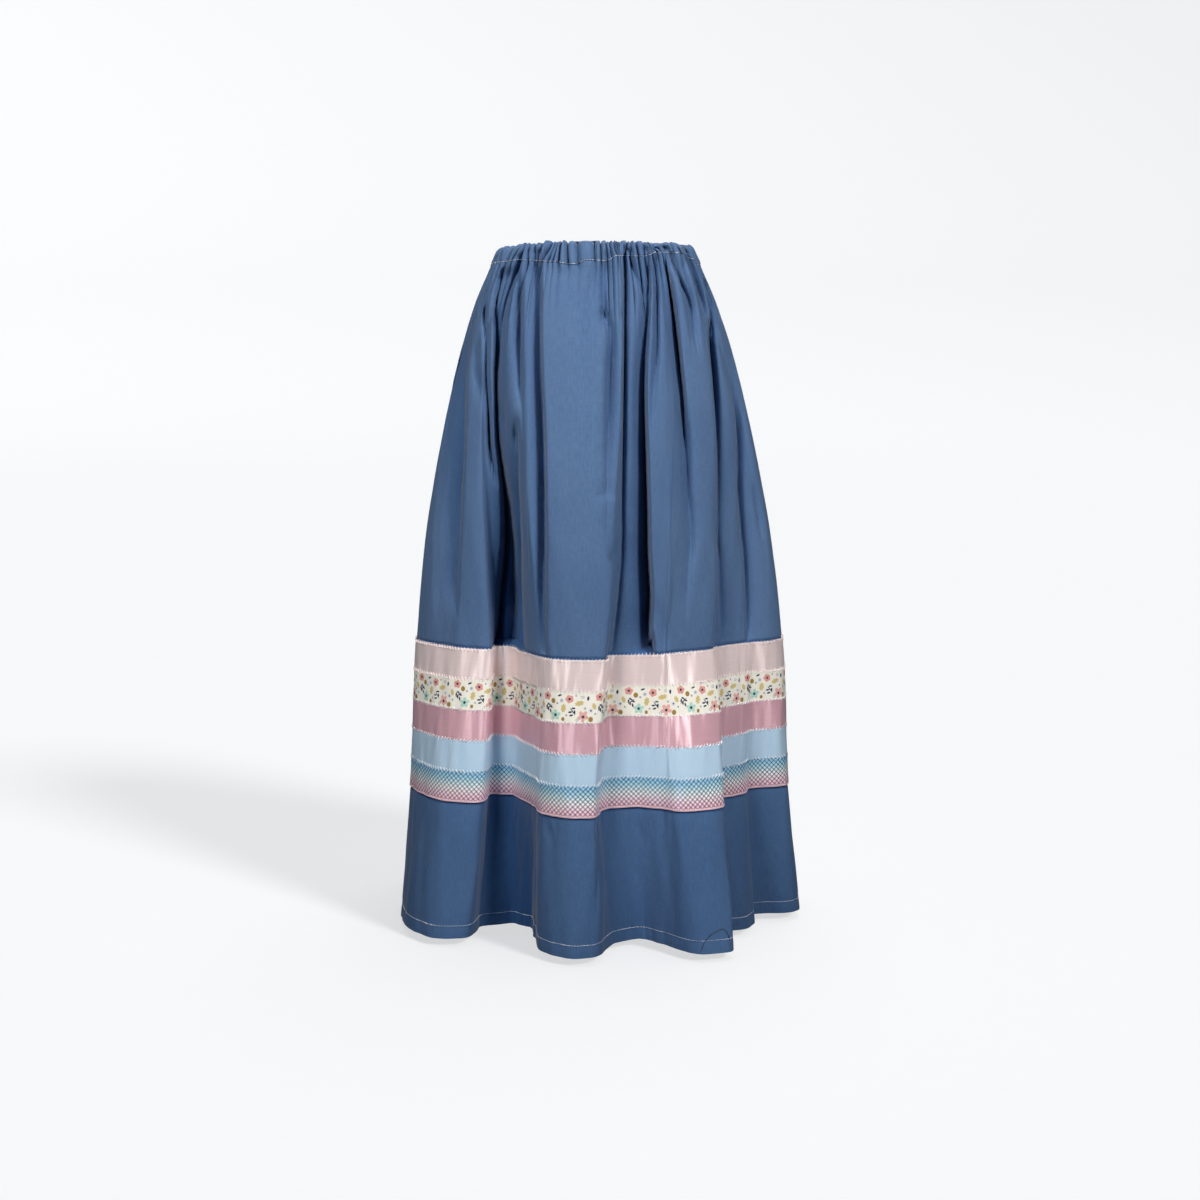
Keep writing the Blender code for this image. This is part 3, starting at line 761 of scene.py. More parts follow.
HOLLOW_DEPTH = 0.045          # a crease this deep gets the full painted shade
GULLY_DEPTH = 0.006           # and so does a gully between two gathers this deep
HOLLOW_REACH = 0.90           # painted shade also on the folds' floors, within this share of the plain section
HOLLOW_REACH_FADE = 0.25
# painted shadow line in the grooves just above and below the ribbons
EDGE_GROOVE_SHADE = 1.3
LEDGE = 0.0065                # the creases' painted shade keeps its value over this last stretch above the first ribbon


def fold_shade_at(shares, depths):
    """Painted shade at each point of a grid, by how deep it lies in a fold: 0 on the lobes, 1 in the
    pockets.
    """
    share, depth = shares[None, :], depths[:, None]
    groove = edge_groove(depth)
    depth = np.where(depth < RIBBON_TOP, np.minimum(depth, RIBBON_TOP - LEDGE), depth)
    x, y = fold_form(share, depth)
    half_width, half_depth = section_at(depth)
    reach = np.hypot(x / half_width, y / half_depth)
    across = outward(share, depth)[2]
    back = (front_set_back(share, depth, x) - back_crease_height(share, depth, across)
            - HOLLOW_DEPTH / GULLY_DEPTH * np.minimum(gather_height(share, depth, across), 0.0))
    floor = np.clip((HOLLOW_REACH - reach) / HOLLOW_REACH_FADE, 0.0, 1.0)
    return np.clip(back / HOLLOW_DEPTH + floor + EDGE_GROOVE_SHADE * groove, 0.0, 1.0)


def closer_where(need, fine, first, last, steps):
    """Places at these steps (0 to 1) from first to last, closer together where need is high."""
    run = np.concatenate([[0.0], np.cumsum(0.5 * (need[1:] + need[:-1]))])
    start, end = np.interp([first, last], fine, run)
    return np.interp(start + (end - start) * steps, run, fine)


# Columns stand closer where the cloth is broad for its share, at creases and at gathers.
COLUMNS = 1240
Closer = namedtuple("Closer", "reach amount")
AT_CREASES = Closer(0.004, 3.2)
AT_GATHERS = Closer(0.0012, 1.0)
BREADTH_DEPTHS = (0.03, 0.15, 0.30, 0.50, 0.80)
FULL_SINK = 10.0              # millimetres: a crease this deep draws the most columns


def crowded_columns(count, at_creases, at_gathers):
    """Shares of a mesh's columns all round, with one on each side seam."""
    fine = np.linspace(0.0, 1.0, 8001)
    need = np.max([outward(fine, np.full_like(fine, depth))[2] for depth in BREADTH_DEPTHS],
                  axis=0)
    for crease in FRONT_CREASES + BACK_CREASES:
        for depth, share, sink in crease.knots:
            side = (fine - 0.001 * share + 0.5) % 1.0 - 0.5
            crowd = bell(side, at_creases.reach) * min(sink, FULL_SINK) / FULL_SINK
            need = need + at_creases.amount * 2.0 * crowd / len(crease.knots)
    for edge in GATHER_EDGES:
        need = need + at_gathers.amount * bell(fine - edge, at_gathers.reach)
    steps = np.arange(count // 2) / (count // 2)
    return np.concatenate([closer_where(need, fine, 0.0, 0.5, steps),
                           closer_where(need, fine, 0.5, 1.0, steps)])


# Rows stand closer under the casing, at the pinches, beside the outer ribbons' edges and at
# the hem's stitching.
ROWS = 79
Crowd = namedtuple("Crowd", "depth reach amount")
ROW_CROWDS = [
    Crowd(0.022, 0.070, 2.5), Crowd(0.085, 0.012, 1.5), Crowd(0.298, 0.008, 2.0),
    Crowd(0.372, 0.008, 2.0), Crowd(0.4925, 0.0016, 12.0), Crowd(0.6845, 0.0018, 9.0),
    Crowd(0.706, 0.012, 1.2), Crowd(0.8325, 0.007, 2.0),
]


def crowded_rows():
    """Depths of the panels' rows, from the casing's seam to the hem."""
    fine = np.linspace(CASING_HEIGHT, SKIRT_LENGTH, 4001)
    need = 1.0 + sum(crowd.amount * bell(fine - crowd.depth, crowd.reach) for crowd in ROW_CROWDS)
    return closer_where(need, fine, CASING_HEIGHT, SKIRT_LENGTH, np.linspace(0.0, 1.0, ROWS))


COLUMN_SHARES = crowded_columns(COLUMNS, AT_CREASES, AT_GATHERS)
PANEL_DEPTHS = crowded_rows()
HEM_LENGTH = 1.80             # the cloth's width all round, for places on it in metres


def cloth_mesh(name, grid, along, down, closed, hollow=0.0):
    """Mesh through a grid of points, top row first, which keeps each point's place on the cloth.

    along and down are metres along the weft and down the warp; hollow is the painted shade, 1 deep
    in a fold.
    """
    mesh = grid_mesh(name, grid, closed)
    places = np.stack(np.broadcast_arrays(along, down, hollow), axis=2)
    place = mesh.attributes.new("cloth", "FLOAT_VECTOR", "POINT")
    place.data.foreach_set("vector", places.reshape(-1).astype(np.float32))
    return mesh


def skirt_piece(name, mesh, material):
    """An object that rides on the skirt and takes its light."""
    mesh.materials.append(material)
    piece = put(name, mesh)
    skirt_only.objects.link(piece)
    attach(piece, "root")
    return piece


def cloth_piece(name, mesh, wall, material, node):
    """Cloth with a wall on its inner side, in place of one of the frame's nodes."""
    piece = skirt_piece(name, mesh, material)
    solidify = piece.modifiers.new("Wall", "SOLIDIFY")
    solidify.thickness = wall
    solidify.offset = -1.0
    piece.modifiers.new("Square edges", "WEIGHTED_NORMAL")
    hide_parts(node)
    return piece


def on_cloth(tree):
    """Each point's place on its cloth: metres along, metres down, and painted shade, 1 deep in a
    fold.
    """
    return add(tree, "Attribute", "Vector", {}, attribute_name="cloth")


def streaks(tree, along, down, detail):
    """Uneven values from 0 to 1, with about this many changes in a metre along and down."""
    stretched = add(tree, "VectorMath", "Vector", {0: on_cloth(tree), 1: (along, down, 1.0)},
                    operation="MULTIPLY")
    return add(tree, "TexNoise", "Fac", {"Vector": stretched, "Scale": 1.0, "Detail": detail})


def shades(tree, at, stops):
    """Colour that runs through the stops as at rises. A stop is a place and a colour."""
    node = tree.nodes.new("ShaderNodeValToRGB")
    feed(tree, node.inputs["Fac"], at)
    ramp = node.color_ramp.elements
    for end, (place, colour) in zip(ramp, (stops[0], stops[-1])):
        end.position = place
        end.color = (*colour, 1.0)
    for place, colour in stops[1:-1]:
        ramp.new(place).color = (*colour, 1.0)
    return node.outputs["Color"]


def blend(tree, mode, amount, first, second):
    """Two colours in one. amount is how much of the second."""
    return add(tree, "Mix", "Result", {"Factor": amount, "A": first, "B": second},
               data_type="RGBA", blend_type=mode)


def maths(tree, operation, *values):
    """The result of one sum."""
    return add(tree, "Math", "Value", dict(enumerate(values)), operation=operation)


def sums(tree):
    """The four plain sums: plus, minus, times and over."""
    return [partial(maths, tree, kind) for kind in ("ADD", "SUBTRACT", "MULTIPLY", "DIVIDE")]


def bumps(tree, height, strength, distance):
    """Shading of a fine relief, distance metres high."""
    return add(tree, "Bump", "Normal",
               {"Height": height, "Strength": strength, "Distance": distance})


# Painted shade: the cloth is a deeper, darker blue deep in the folds, and darker and bluer below the
# ribbons.
FOLD_SHADE_TINT = (0.38, 0.64, 0.86)
LOWER_SHADE_TINT = (0.78, 0.89, 0.97)


def blue_cotton():
    """Matt plain weave: a dusty blue with slubs down the warp, flecks across, a fine grain and
    painted shade.
    """
    cotton, tree = new_look("blue_cotton")
    warp = streaks(tree, 1000.0, 90.0, 2.0)
    slub = streaks(tree, 380.0, 12.0, 1.0)
    weft = streaks(tree, 120.0, 1000.0, 1.0)
    wear = streaks(tree, 14.0, 9.0, 3.0)
    parts = add(tree, "SeparateXYZ", None, {"Vector": on_cloth(tree)})
    colour = shades(tree, wear, [(0.30, (0.069, 0.133, 0.266)), (0.72, (0.084, 0.155, 0.292))])
    # painted shade: a deeper, darker blue deep in the folds
    colour = blend(tree, "MULTIPLY", parts["Z"], colour, FOLD_SHADE_TINT)
    # painted shade: darker and bluer below the ribbons
    lower = add(tree, "MapRange", "Result",
                {"Value": parts["Y"], "From Min": 0.50, "From Max": 0.70})
    colour = blend(tree, "MULTIPLY", lower, colour, LOWER_SHADE_TINT)
    colour = blend(tree, "SOFT_LIGHT", 0.26, colour, warp)
    colour = blend(tree, "SOFT_LIGHT", 0.06, colour, slub)
    colour = blend(tree, "SOFT_LIGHT", 0.14, colour, weft)
    grain = maths(tree, "ADD", warp, weft)
    dress(tree, {"Base Color": colour, "Roughness": 0.86, "Specular IOR Level": 0.25,
                 "Sheen Weight": 0.24, "Sheen Roughness": 0.40, "Sheen Tint": (1.0, 0.96, 0.90),
                 "Normal": bumps(tree, grain, 0.35, 0.0004)})
    return cotton


cotton = blue_cotton()
for panel_name, node, half in (("front", "front_panel", 0), ("back", "back_panel", 1)):
    seam = COLUMNS // 2
    shares = np.append(COLUMN_SHARES, 1.0)[half * seam:(half + 1) * seam + 1]
    # Each panel's cloth attribute carries the painted shade of its folds.
    mesh = cloth_mesh(panel_name + "_cotton", sheet_points(shares, PANEL_DEPTHS),
                      shares * HEM_LENGTH, PANEL_DEPTHS[:, None], closed=False,
                      hollow=fold_shade_at(shares, PANEL_DEPTHS))
    cloth_piece(panel_name + "_cotton", mesh, COTTON_WALL, cotton, node)


# ---- Waist casing -------------------------------------------------------------------------
# The panels' top edge turned down over flat elastic and stitched. The elastic draws it into
# small puffs all round, rounded over at the top.

CASING_WALL = 0.0016
CASING_BULGE = 0.0018
CASING_ROUNDING = 0.0030      # how far the top edge leans in
CASING_ROUNDING_DEPTH = 0.005
CASING_ROWS = 18
CASING_COLUMNS = 1400

casing_shares = crowded_columns(CASING_COLUMNS, Closer(0.005, 0.0), Closer(0.0016, 3.0))
casing_depths = np.linspace(0.0, CASING_HEIGHT, CASING_ROWS)
bulge = np.sin(np.pi * casing_depths / CASING_HEIGHT) ** 0.6
rounding = 1.0 - np.clip(casing_depths / CASING_ROUNDING_DEPTH, 0, 1)
casing_lift = CASING_BULGE * bulge - CASING_ROUNDING * rounding ** 2
# The casing takes half of the folds' painted shade.
casing_mesh = cloth_mesh(
    "casing_cotton", sheet_points(casing_shares, casing_depths, casing_lift[:, None]),
    casing_shares * HEM_LENGTH, casing_depths[:, None], closed=True,
    hollow=0.5 * fold_shade_at(casing_shares, casing_depths))
casing = cloth_piece("casing_cotton", casing_mesh, CASING_WALL, cotton, "waist_casing")


# ---- Ribbons: how each lies ---------------------------------------------------------------
# Five ribbons, 37.5 mm wide, sewn flat and edge to edge round both panels. Each is a closed
# band that follows the cotton under it and puckers a little between its rows of stitching.

RIBBON_WALL = 0.0004
RIBBON_LIFT = 0.0011          # outer face of a ribbon above the cotton's outer face
RIBBON_ROWS = 9
RIBBON_COLUMNS = 1500
RIBBON_SHARES = crowded_columns(RIBBON_COLUMNS, Closer(0.005, 0.4), Closer(0.001, 0.0))
PUCKER_HEIGHT = 0.00042

Pucker = namedtuple("Pucker", "waves phase lean strength edge")
PUCKERS = [
    Pucker(67, 0.4, 1.5, 0.45, 0.4),
    Pucker(113, 2.1, -2.5, 0.40, 0.5),
    Pucker(181, 4.0, 3.0, 0.35, 0.9),
    Pucker(263, 1.2, -2.0, 0.30, 1.0),
    Pucker(337, 3.1, 4.0, 0.22, 1.0),
]


def pucker_height(share, across, number):
    """Shallow waves along a ribbon that swell and fade, and that differ from ribbon to ribbon.

    across is 0 at its upper edge and 1 at its lower.
    """
    height = 0.0
    near_edge = np.abs(2 * across - 1) ** 1.5
    for p in PUCKERS:
        turn = 2 * math.pi * p.waves * share + p.phase + 1.7 * number + p.lean * across
        here = 1.0 - p.edge + p.edge * near_edge
        swell = 0.65 + 0.35 * np.sin(2 * math.pi * 0.13 * p.waves * share + p.phase * 2)
        height = height + p.strength * here * swell * np.sin(turn)
    return PUCKER_HEIGHT * height


def make_ribbon(number, name, node, material):
    """One ribbon as a thin closed band, number 0 at the top, and its length."""
    across = np.linspace(0.0, 1.0, RIBBON_ROWS)
    down = across * RIBBON_WIDTH
    lift = RIBBON_LIFT + pucker_height(RIBBON_SHARES, across[:, None], number)
    grid = sheet_points(RIBBON_SHARES, RIBBON_TOP + number * RIBBON_WIDTH + down, lift)
    middle = grid[RIBBON_ROWS // 2]
    along = run_along(middle)
    mesh = cloth_mesh(name, grid, along, down[:, None], closed=True)

    weave = mesh.uv_layers.new(name="weave")
    corner_points = np.zeros(len(mesh.loops), dtype=np.int64)
    mesh.loops.foreach_get("vertex_index", corner_points)
    row, column = np.divmod(corner_points, RIBBON_COLUMNS)
    places = np.stack([along[column], down[row]], axis=1)
    weave.data.foreach_set("uv", places.reshape(-1).astype(np.float32))

    ribbon = cloth_piece(name, mesh, RIBBON_WALL, material, node)
    return ribbon, float(along[-1] + np.linalg.norm(middle[0] - middle[-1]))


# ---- Satin ribbons: pale pink and dusty rose ----------------------------------------------
# Two satin ribbons, sewn along both edges. The weave's long floats run along the ribbon and
# throw upright streaks of light.


def satin(name, colour, streak_colour):
    """Satin with its gloss drawn out across the ribbon, and fine lines of floats along it."""
    cloth, tree = new_look(name)
    floats = streaks(tree, 35.0, 900.0, 2.0)
    tangent = add(tree, "Tangent", "Tangent", {}, direction_type="UV_MAP", uv_map="weave")
    dress(tree, {"Base Color": blend(tree, "MIX", floats, colour, streak_colour),
                 "Metallic": 0.14, "Roughness": 0.35, "IOR": 1.8, "Specular IOR Level": 0.8,
                 "Anisotropic": 0.85, "Anisotropic Rotation": 0.25, "Tangent": tangent,
                 "Sheen Weight": 0.10, "Normal": bumps(tree, floats, 0.20, 0.0003)})
    return cloth


pale_pink = satin("pale_pink_satin", (0.89, 0.705, 0.695), (0.97, 0.83, 0.815))
dusty_rose = satin("dusty_rose_satin", (0.74, 0.40, 0.475), (0.85, 0.52, 0.59))
pink_ribbon, pink_length = make_ribbon(0, "pale_pink_ribbon", "ribbon_pale_pink", pale_pink)
rose_ribbon, rose_length = make_ribbon(2, "dusty_rose_ribbon", "ribbon_dusty_rose", dusty_rose)


# ---- Flower ribbon ------------------------------------------------------------------------
# Ivory cotton ribbon printed with small flowers, leaves, sprigs and dots, repeated along it.
# It is sewn along both edges like its neighbours.

REPEAT = 66.0                 # millimetres along the ribbon
PRINT_BLUR = 0.12             # soft edge of a motif, as a share of its half size

# Each motif's place is in millimetres along the repeat and down from the ribbon's upper edge;
# its half length and half width are in millimetres too. turn is in degrees. notch is how
# deep the gaps between its petals cut in.
Motif = namedtuple("Motif", "colour x y length width turn petals notch", defaults=(0, 0, 0.0))
MOTIFS = [
    # coral, rose and mint flowers
    Motif("coral", 8.0, 6.8, 5.2, 5.0, 10, 5, 0.22),
    Motif("coral", 37.5, 9.0, 5.1, 5.1, 40, 5, 0.20),
    Motif("rose", 54.0, 29.5, 7.4, 7.0, 54, 5, 0.50),
    Motif("mint", 20.0, 28.5, 6.8, 6.4, 18, 5, 0.48),
    # mustard buds
    Motif("mustard", 16.5, 12.0, 2.8, 3.1, 10),
    Motif("mustard", 63.5, 33.0, 2.8, 3.1, -10),
    Motif("mustard", 29.5, 33.0, 1.9, 2.3),
    # gold leaves with a notched edge
    Motif("gold", 30.0, 20.0, 3.2, 5.6, -8, 7, 0.35),
    Motif("gold", 49.5, 14.0, 6.0, 3.2, 15, 7, 0.35),
    Motif("gold", 1.5, 17.5, 2.7, 4.4, 20, 7, 0.35),
    # navy seeds
    Motif("navy", 60.0, 8.0, 1.4, 2.6, -6),
    Motif("navy", 25.0, 5.0, 2.6, 1.1, 20),
    # dashed ring
    Motif("pale", 63.5, 22.5, 2.9, 2.9, 0, 11, 0.35),
]
SPRIG_STEMS = [(10.8, 20.0, 38), (41.5, 24.0, -52)]
SPRIG_LEAVES = [
    (7.6, 19.4, 80), (10.2, 16.8, -35), (9.6, 22.2, 95), (13.4, 19.6, -20), (12.6, 24.4, 100),
    (38.2, 24.6, 5), (39.6, 28.4, 15), (43.6, 24.6, -95), (42.2, 20.0, 0),
]
MOTIFS += [Motif("navy", x, y, 5.2, 0.6, turn) for x, y, turn in SPRIG_STEMS]
MOTIFS += [Motif("navy", x, y, 2.4, 1.05, turn) for x, y, turn in SPRIG_LEAVES]

# The flowers' hearts, the dots and the dots in rings: colour, place, half length, half width.
DOTS = [
    ("navy", 8.0, 6.5, 1.5, 1.5), ("navy", 37.5, 9.0, 1.5, 1.5), ("navy", 54.0, 30.0, 1.7, 1.7),
    ("navy", 20.0, 28.5, 1.7, 1.7), ("grey", 3.0, 26.5, 1.3, 1.3), ("grey", 22.0, 14.5, 1.4, 1.4),
    ("grey", 33.5, 28.5, 1.2, 1.2), ("grey", 45.5, 5.0, 1.2, 1.2), ("grey", 56.5, 20.0, 1.4, 1.4),
    ("grey", 47.0, 33.8, 2.0, 1.8), ("ivory", 47.0, 33.8, 1.2, 1.0),
    ("grey", 53.5, 6.5, 2.0, 1.8), ("ivory", 53.5, 6.5, 1.2, 1.0),
    ("ivory", 63.5, 22.5, 2.0, 2.0), ("blue", 63.5, 22.5, 1.3, 1.3),
    ("pale", 27.5, 11.0, 2.4, 2.4), ("grey", 27.5, 11.0, 1.4, 1.4),
]
MOTIFS += [Motif(*dot) for dot in DOTS]
PRINT_COLOURS = {
    "ivory": (0.90, 0.87, 0.78),
    "coral": (0.74, 0.33, 0.29),
    "rose": (0.80, 0.44, 0.39),
    "mint": (0.45, 0.70, 0.60),
    "mustard": (0.33, 0.21, 0.04),
    "gold": (0.64, 0.52, 0.21),
    "navy": (0.025, 0.04, 0.085),
    "grey": (0.42, 0.42, 0.49),
    "blue": (0.11, 0.17, 0.33),
    "pale": (0.64, 0.68, 0.72),
}


def motif_group():
    """Node group: 1 inside a printed motif, 0 outside. Sizes in millimetres."""
    group = bpy.data.node_groups.new("printed_motif", "ShaderNodeTree")
    group.interface.new_socket("Place", in_out="INPUT", socket_type="NodeSocketVector")
    for label in ("X", "Y", "Length", "Width", "Turn", "Petals", "Notch"):
        group.interface.new_socket(label, in_out="INPUT", socket_type="NodeSocketFloat")
    group.interface.new_socket("Inside", in_out="OUTPUT", socket_type="NodeSocketFloat")
    given = group.nodes.new("NodeGroupInput").outputs
    result = group.nodes.new("NodeGroupOutput").inputs["Inside"]

    plus, minus, times, over = sums(group)
    parts = add(group, "SeparateXYZ", None, {"Vector": given["Place"]})
    laps = over(minus(times(parts["X"], 1000.0), given["X"]), REPEAT)
    du = times(minus(maths(group, "FRACT", plus(laps, 0.5)), 0.5), REPEAT)
    dv = minus(given["Y"], times(parts["Y"], 1000.0))
    cosine = maths(group, "COSINE", given["Turn"])
    sine = maths(group, "SINE", given["Turn"])
    x = over(plus(times(du, cosine), times(dv, sine)), given["Length"])
    y = over(minus(times(dv, cosine), times(du, sine)), given["Width"])
    reach = maths(group, "SQRT", plus(times(x, x), times(y, y)))
    petal = times(times(maths(group, "ARCTAN2", y, x), given["Petals"]), 0.5)
    petal = maths(group, "ABSOLUTE", maths(group, "COSINE", petal))
    edge = plus(times(minus(petal, 1.0), given["Notch"]), 1.0)
    soft = over(minus(edge, reach), PRINT_BLUR)
    feed(group, result, add(group, "Clamp", "Result", {"Value": plus(soft, 0.5)}))
    return group


def flower_print():
    """Ivory ground with the chart's motifs laid on it in turn."""
    cloth, tree = new_look("flower_print_cotton")
    place = on_cloth(tree)
    shape = motif_group()
    printed = PRINT_COLOURS["ivory"]
    for motif in MOTIFS:
        given = {"Place": place, "X": motif.x, "Y": motif.y, "Length": motif.length,
                 "Width": motif.width, "Turn": math.radians(motif.turn),
                 "Petals": motif.petals, "Notch": motif.notch}
        inside = add(tree, "Group", "Inside", given, node_tree=shape)
        printed = blend(tree, "MIX", inside, printed, PRINT_COLOURS[motif.colour])
    grain = add(tree, "TexNoise", "Fac", {"Vector": place, "Scale": 900.0})
    dress(tree, {"Base Color": printed, "Roughness": 0.75, "Specular IOR Level": 0.3,
                 "Normal": bumps(tree, grain, 0.25, 0.0003)})
    return cloth


flower_ribbon, flower_length = make_ribbon(1, "flower_ribbon", "ribbon_flower_print",
                                           flower_print())


# ---- Light blue ribbon --------------------------------------------------------------------
# Matt polyester ribbon woven with fine ribs across it, and sewn along both edges like its
# neighbours.


def ribbed_blue():
    """Pale sky blue with fine upright ribs."""
    cloth, tree = new_look("light_blue_ribbed")
    ribs = streaks(tree, 900.0, 60.0, 2.0)
    dress(tree, {"Base Color": blend(tree, "MIX", ribs, (0.440, 0.620, 0.800),
                                     (0.520, 0.700, 0.860)),
                 "Roughness": 0.55, "Specular IOR Level": 0.45, "Sheen Weight": 0.15,
                 "Normal": bumps(tree, ribs, 0.25, 0.0003)})
    return cloth


blue_ribbon, blue_length = make_ribbon(3, "light_blue_ribbon", "ribbon_light_blue",
                                       ribbed_blue())


# ---- Scale ribbon -------------------------------------------------------------------------
# Printed ribbon shaded from blue to pink, under a net of plum foil lines like fish scales.
# The last of the five, it has a plain pink selvedge below the net.

SCALE_WIDTH = 0.0061
SCALE_HEIGHT = 0.0060
LINE_SHARE = 0.19             # of a scale's width
NET_SHARE = 0.94              # of the ribbon's width; the rest is selvedge
SCALE_SHADES = [
    (0.00, (0.25, 0.56, 0.83)),
    (0.20, (0.39, 0.69, 0.86)),
    (0.38, (0.64, 0.83, 0.88)),
    (0.55, (0.88, 0.87, 0.89)),
    (0.74, (0.93, 0.70, 0.78)),
    (0.92, (0.88, 0.54, 0.65)),
    (0.95, (0.92, 0.60, 0.68)),
]
FOIL_TINT = (0.36, 0.27, 0.39)
FOIL_METAL = 0.8
PRINT_ROUGHNESS = 0.55
FOIL_SMOOTHER = 0.33          # how much less rough the foil is than the print


def scale_net():
    """Shades down the ribbon, crossed by two sets of slanting foil lines."""
    cloth, tree = new_look("scale_net")
    plus, minus, times, over = sums(tree)
    parts = add(tree, "SeparateXYZ", None, {"Vector": on_cloth(tree)})
    colour = shades(tree, over(parts["Y"], RIBBON_WIDTH), SCALE_SHADES)
    across = over(parts["X"], SCALE_WIDTH)
    down = over(parts["Y"], SCALE_HEIGHT)
    near = [maths(tree, "ABSOLUTE", minus(maths(tree, "FRACT", slant(across, down)), 0.5))
            for slant in (plus, minus)]
    line = maths(tree, "LESS_THAN", maths(tree, "MINIMUM", *near), LINE_SHARE * 0.5)
    line = times(line, maths(tree, "LESS_THAN", parts["Y"], RIBBON_WIDTH * NET_SHARE))
    dress(tree, {"Base Color": blend(tree, "MULTIPLY", line, colour, FOIL_TINT),
                 "Metallic": times(line, FOIL_METAL),
                 "Roughness": minus(PRINT_ROUGHNESS, times(line, FOIL_SMOOTHER)),
                 "Specular IOR Level": 0.5})
    return cloth


scale_ribbon, scale_length = make_ribbon(4, "scale_ribbon", "ribbon_scale_net", scale_net())


# ---- Stitching ----------------------------------------------------------------------------
# Machine stitches in polyester thread: slanting strokes over the ribbons' upper edges,
# straight lines along the last ribbon's selvedge, the hem and the casing, and one thread end
# left long.

THREAD_RADIUS = 0.00030
ZIGZAG_RADIUS = 0.00050
STRAY_RADIUS = 0.00045
THREAD_SIDES = 4
DIVE = np.array([-1.0, 0.6, 0.6, -1.0])   # a stitch's ends go into the cloth, in thread radii


def thread_piece(name, paths, radius, material):
    """Threads as one object, each along its own row of points."""
    ahead = np.gradient(paths, axis=1)
    ahead /= np.linalg.norm(ahead, axis=2, keepdims=True)
    side = np.cross(ahead, paths * np.array([1.0, 1.0, 0.0]))
    side /= np.linalg.norm(side, axis=2, keepdims=True)
    up = np.cross(side, ahead)
    turns = 2 * math.pi * (np.arange(THREAD_SIDES) + 0.5) / THREAD_SIDES
    points = np.stack([paths + radius * (math.cos(turn) * side + math.sin(turn) * up)
                       for turn in turns], axis=2)
    number = np.arange(points[..., 0].size).reshape(points.shape[:3])
    turned = np.roll(number, -1, axis=2)
    sides = np.stack([number[:, :-1], turned[:, :-1], turned[:, 1:], number[:, 1:]], axis=3)
    faces = np.concatenate([sides.reshape(-1, 4), number[:, 0, ::-1], number[:, -1]])
    return skirt_piece(name, smooth_mesh(name, points, faces), material)


def stitch_starts(depth, pitch):
    """Shares at equal steps of about pitch metres round the cloth, and each step's share."""
    shares = np.linspace(0.0, 1.0, 6001)
    run = run_along(sheet_points(shares, np.array([depth]))[0])
    count = int(round(run[-1] / pitch))
    starts = np.interp(np.arange(count) * run[-1] / count, run, shares)
    return starts[:, None], np.diff(np.append(starts, 1.0))[:, None]


def thread_look(name, colour):
    """Polyester thread with a slight gloss and the twist of its plies."""
    thread, tree = new_look(name)
    place = add(tree, "TexCoord", "Object", {})
    plies = add(tree, "TexWave", "Fac", {"Vector": place, "Scale": 900.0})
    dress(tree, {"Base Color": colour, "Roughness": 0.5, "Sheen Weight": 0.3,
                 "Normal": bumps(tree, plies, 0.2, 0.0001)})
    return thread


STROKE_PITCH = 0.0046
STROKE_RUN = 0.0030           # along the seam
STROKE_FALL = 0.0042          # down across it
STROKE_LIFT = RIBBON_LIFT + 0.0003
STROKE_TURNS = 3              # how often the strokes' slant changes round the skirt

white_thread = thread_look("white_thread", (0.93, 0.93, 0.95))
pink_thread = thread_look("pink_thread", (0.95, 0.84, 0.83))

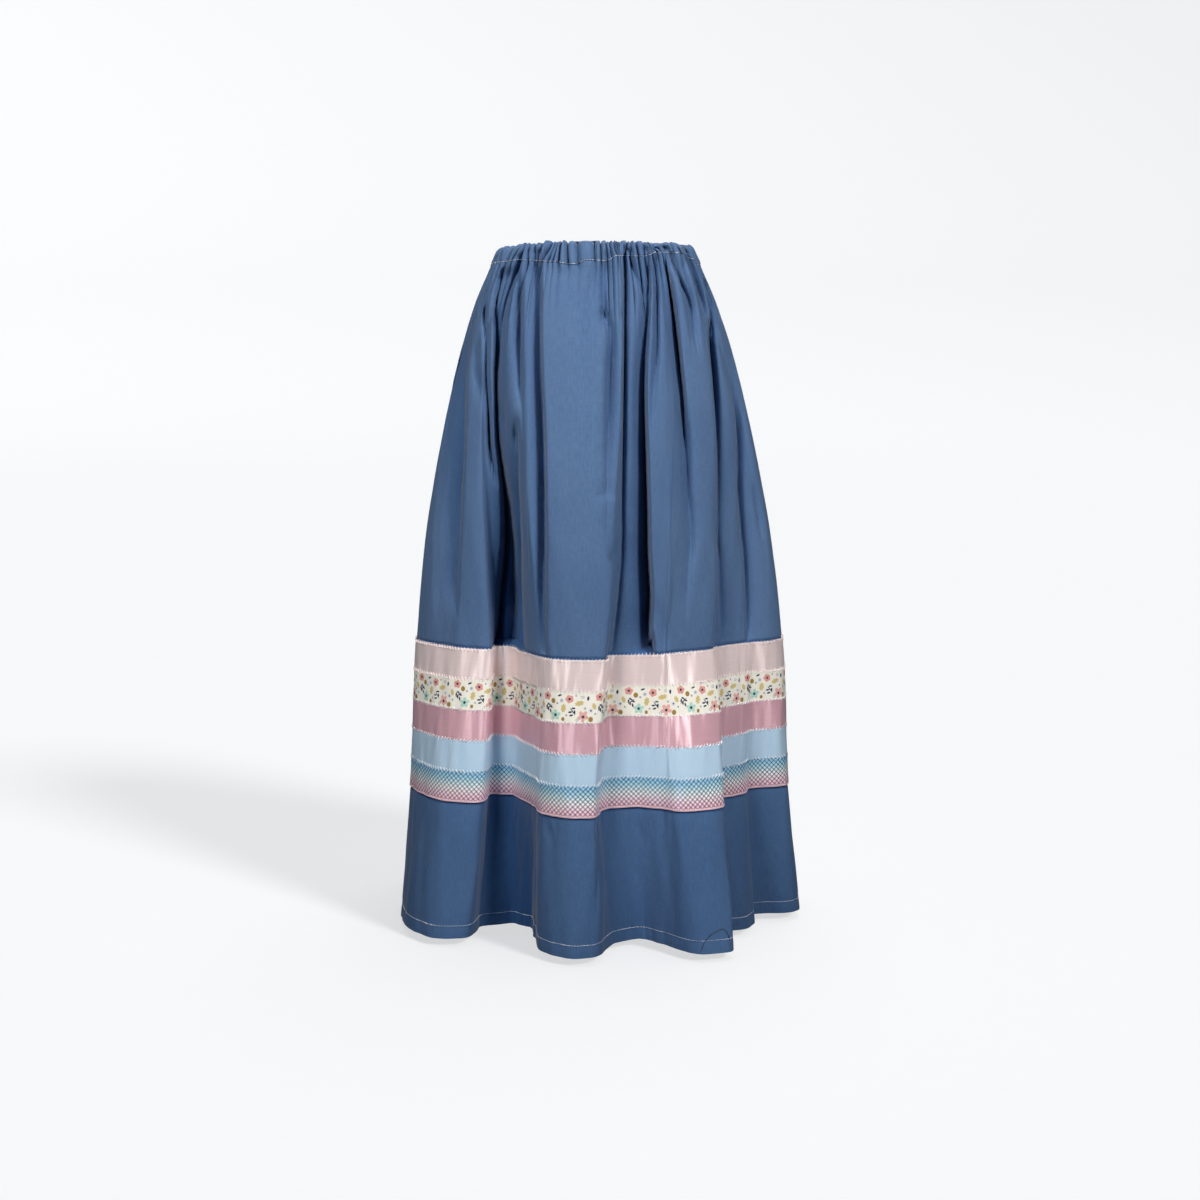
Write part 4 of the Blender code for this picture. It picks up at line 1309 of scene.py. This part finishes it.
# seam is the number of the ribbon below it; drop is metres that the strokes stand lower.
Zigzag = namedtuple("Zigzag", "name seam drop thread")
ZIGZAGS = [
    Zigzag("zigzag_first_edge", 0, 0.0013, pink_thread),
    Zigzag("zigzag_pink_to_flowers", 1, 0.0, pink_thread),
    Zigzag("zigzag_flowers_to_rose", 2, 0.0, white_thread),
    Zigzag("zigzag_rose_to_blue", 3, 0.0, white_thread),
    Zigzag("zigzag_blue_to_scales", 4, 0.0, white_thread),
]
for zigzag in ZIGZAGS:
    seam_depth = RIBBON_TOP + zigzag.seam * RIBBON_WIDTH + zigzag.drop
    starts, step = stitch_starts(seam_depth, STROKE_PITCH)
    lean = np.tanh(5.0 * np.sin(2 * math.pi * STROKE_TURNS * starts + 1.3 * zigzag.seam))
    swing = np.array([-0.5, -0.25, 0.25, 0.5])
    shares = starts + step * STROKE_RUN / STROKE_PITCH * lean * swing
    depths = seam_depth + STROKE_FALL * swing + 0.0 * shares
    paths = cloth_at(shares, depths, STROKE_LIFT + ZIGZAG_RADIUS * DIVE)
    thread_piece(zigzag.name, paths, ZIGZAG_RADIUS, zigzag.thread)

pale_thread = thread_look("pale_thread", (0.90, 0.92, 0.95))
Line = namedtuple("Line", "name depth length gap lift thread")
LINES = [
    Line("casing_stitches", CASING_HEIGHT - 0.0012, 0.0026, 0.0006, 0.0004, pale_thread),
    Line("selvedge_stitches", RIBBON_TOP + RIBBON_COUNT * RIBBON_WIDTH - 0.0016,
         0.0026, 0.0005, RIBBON_LIFT + 0.0002, pink_thread),
    Line("hem_stitches", HEM_STITCH_DEPTH, 0.0030, 0.0007, 0.0002, pale_thread),
]
for line in LINES:
    pitch = line.length + line.gap
    starts, step = stitch_starts(line.depth, pitch)
    shares = starts + step * line.length / pitch * np.array([0.0, 0.25, 0.75, 1.0])
    paths = cloth_at(shares, np.full_like(shares, line.depth), line.lift + THREAD_RADIUS * DIVE)
    thread_piece(line.name, paths, THREAD_RADIUS, line.thread)

# The thread end hangs in a loop near the hem of the right front lobe.
Stray = namedtuple("Stray", "share depth")
STRAYS = [
    Stray(0.3362, 0.8440), Stray(0.3378, 0.8385), Stray(0.3394, 0.8329), Stray(0.3420, 0.8270),
    Stray(0.3456, 0.8229), Stray(0.3490, 0.8205), Stray(0.3515, 0.8225), Stray(0.3536, 0.8300),
    Stray(0.3540, 0.8370), Stray(0.3538, 0.8440),
]
stray_shares, stray_depths = np.array(STRAYS).T
stray_knots = np.arange(len(STRAYS))
fine_knots = np.linspace(0, len(STRAYS) - 1, 60)
stray_path = cloth_at(curve_through(stray_knots, stray_shares, fine_knots),
                      curve_through(stray_knots, stray_depths, fine_knots), THREAD_RADIUS)
thread_piece("stray_thread", stray_path[None], STRAY_RADIUS,
             thread_look("navy_thread", (0.012, 0.020, 0.060)))
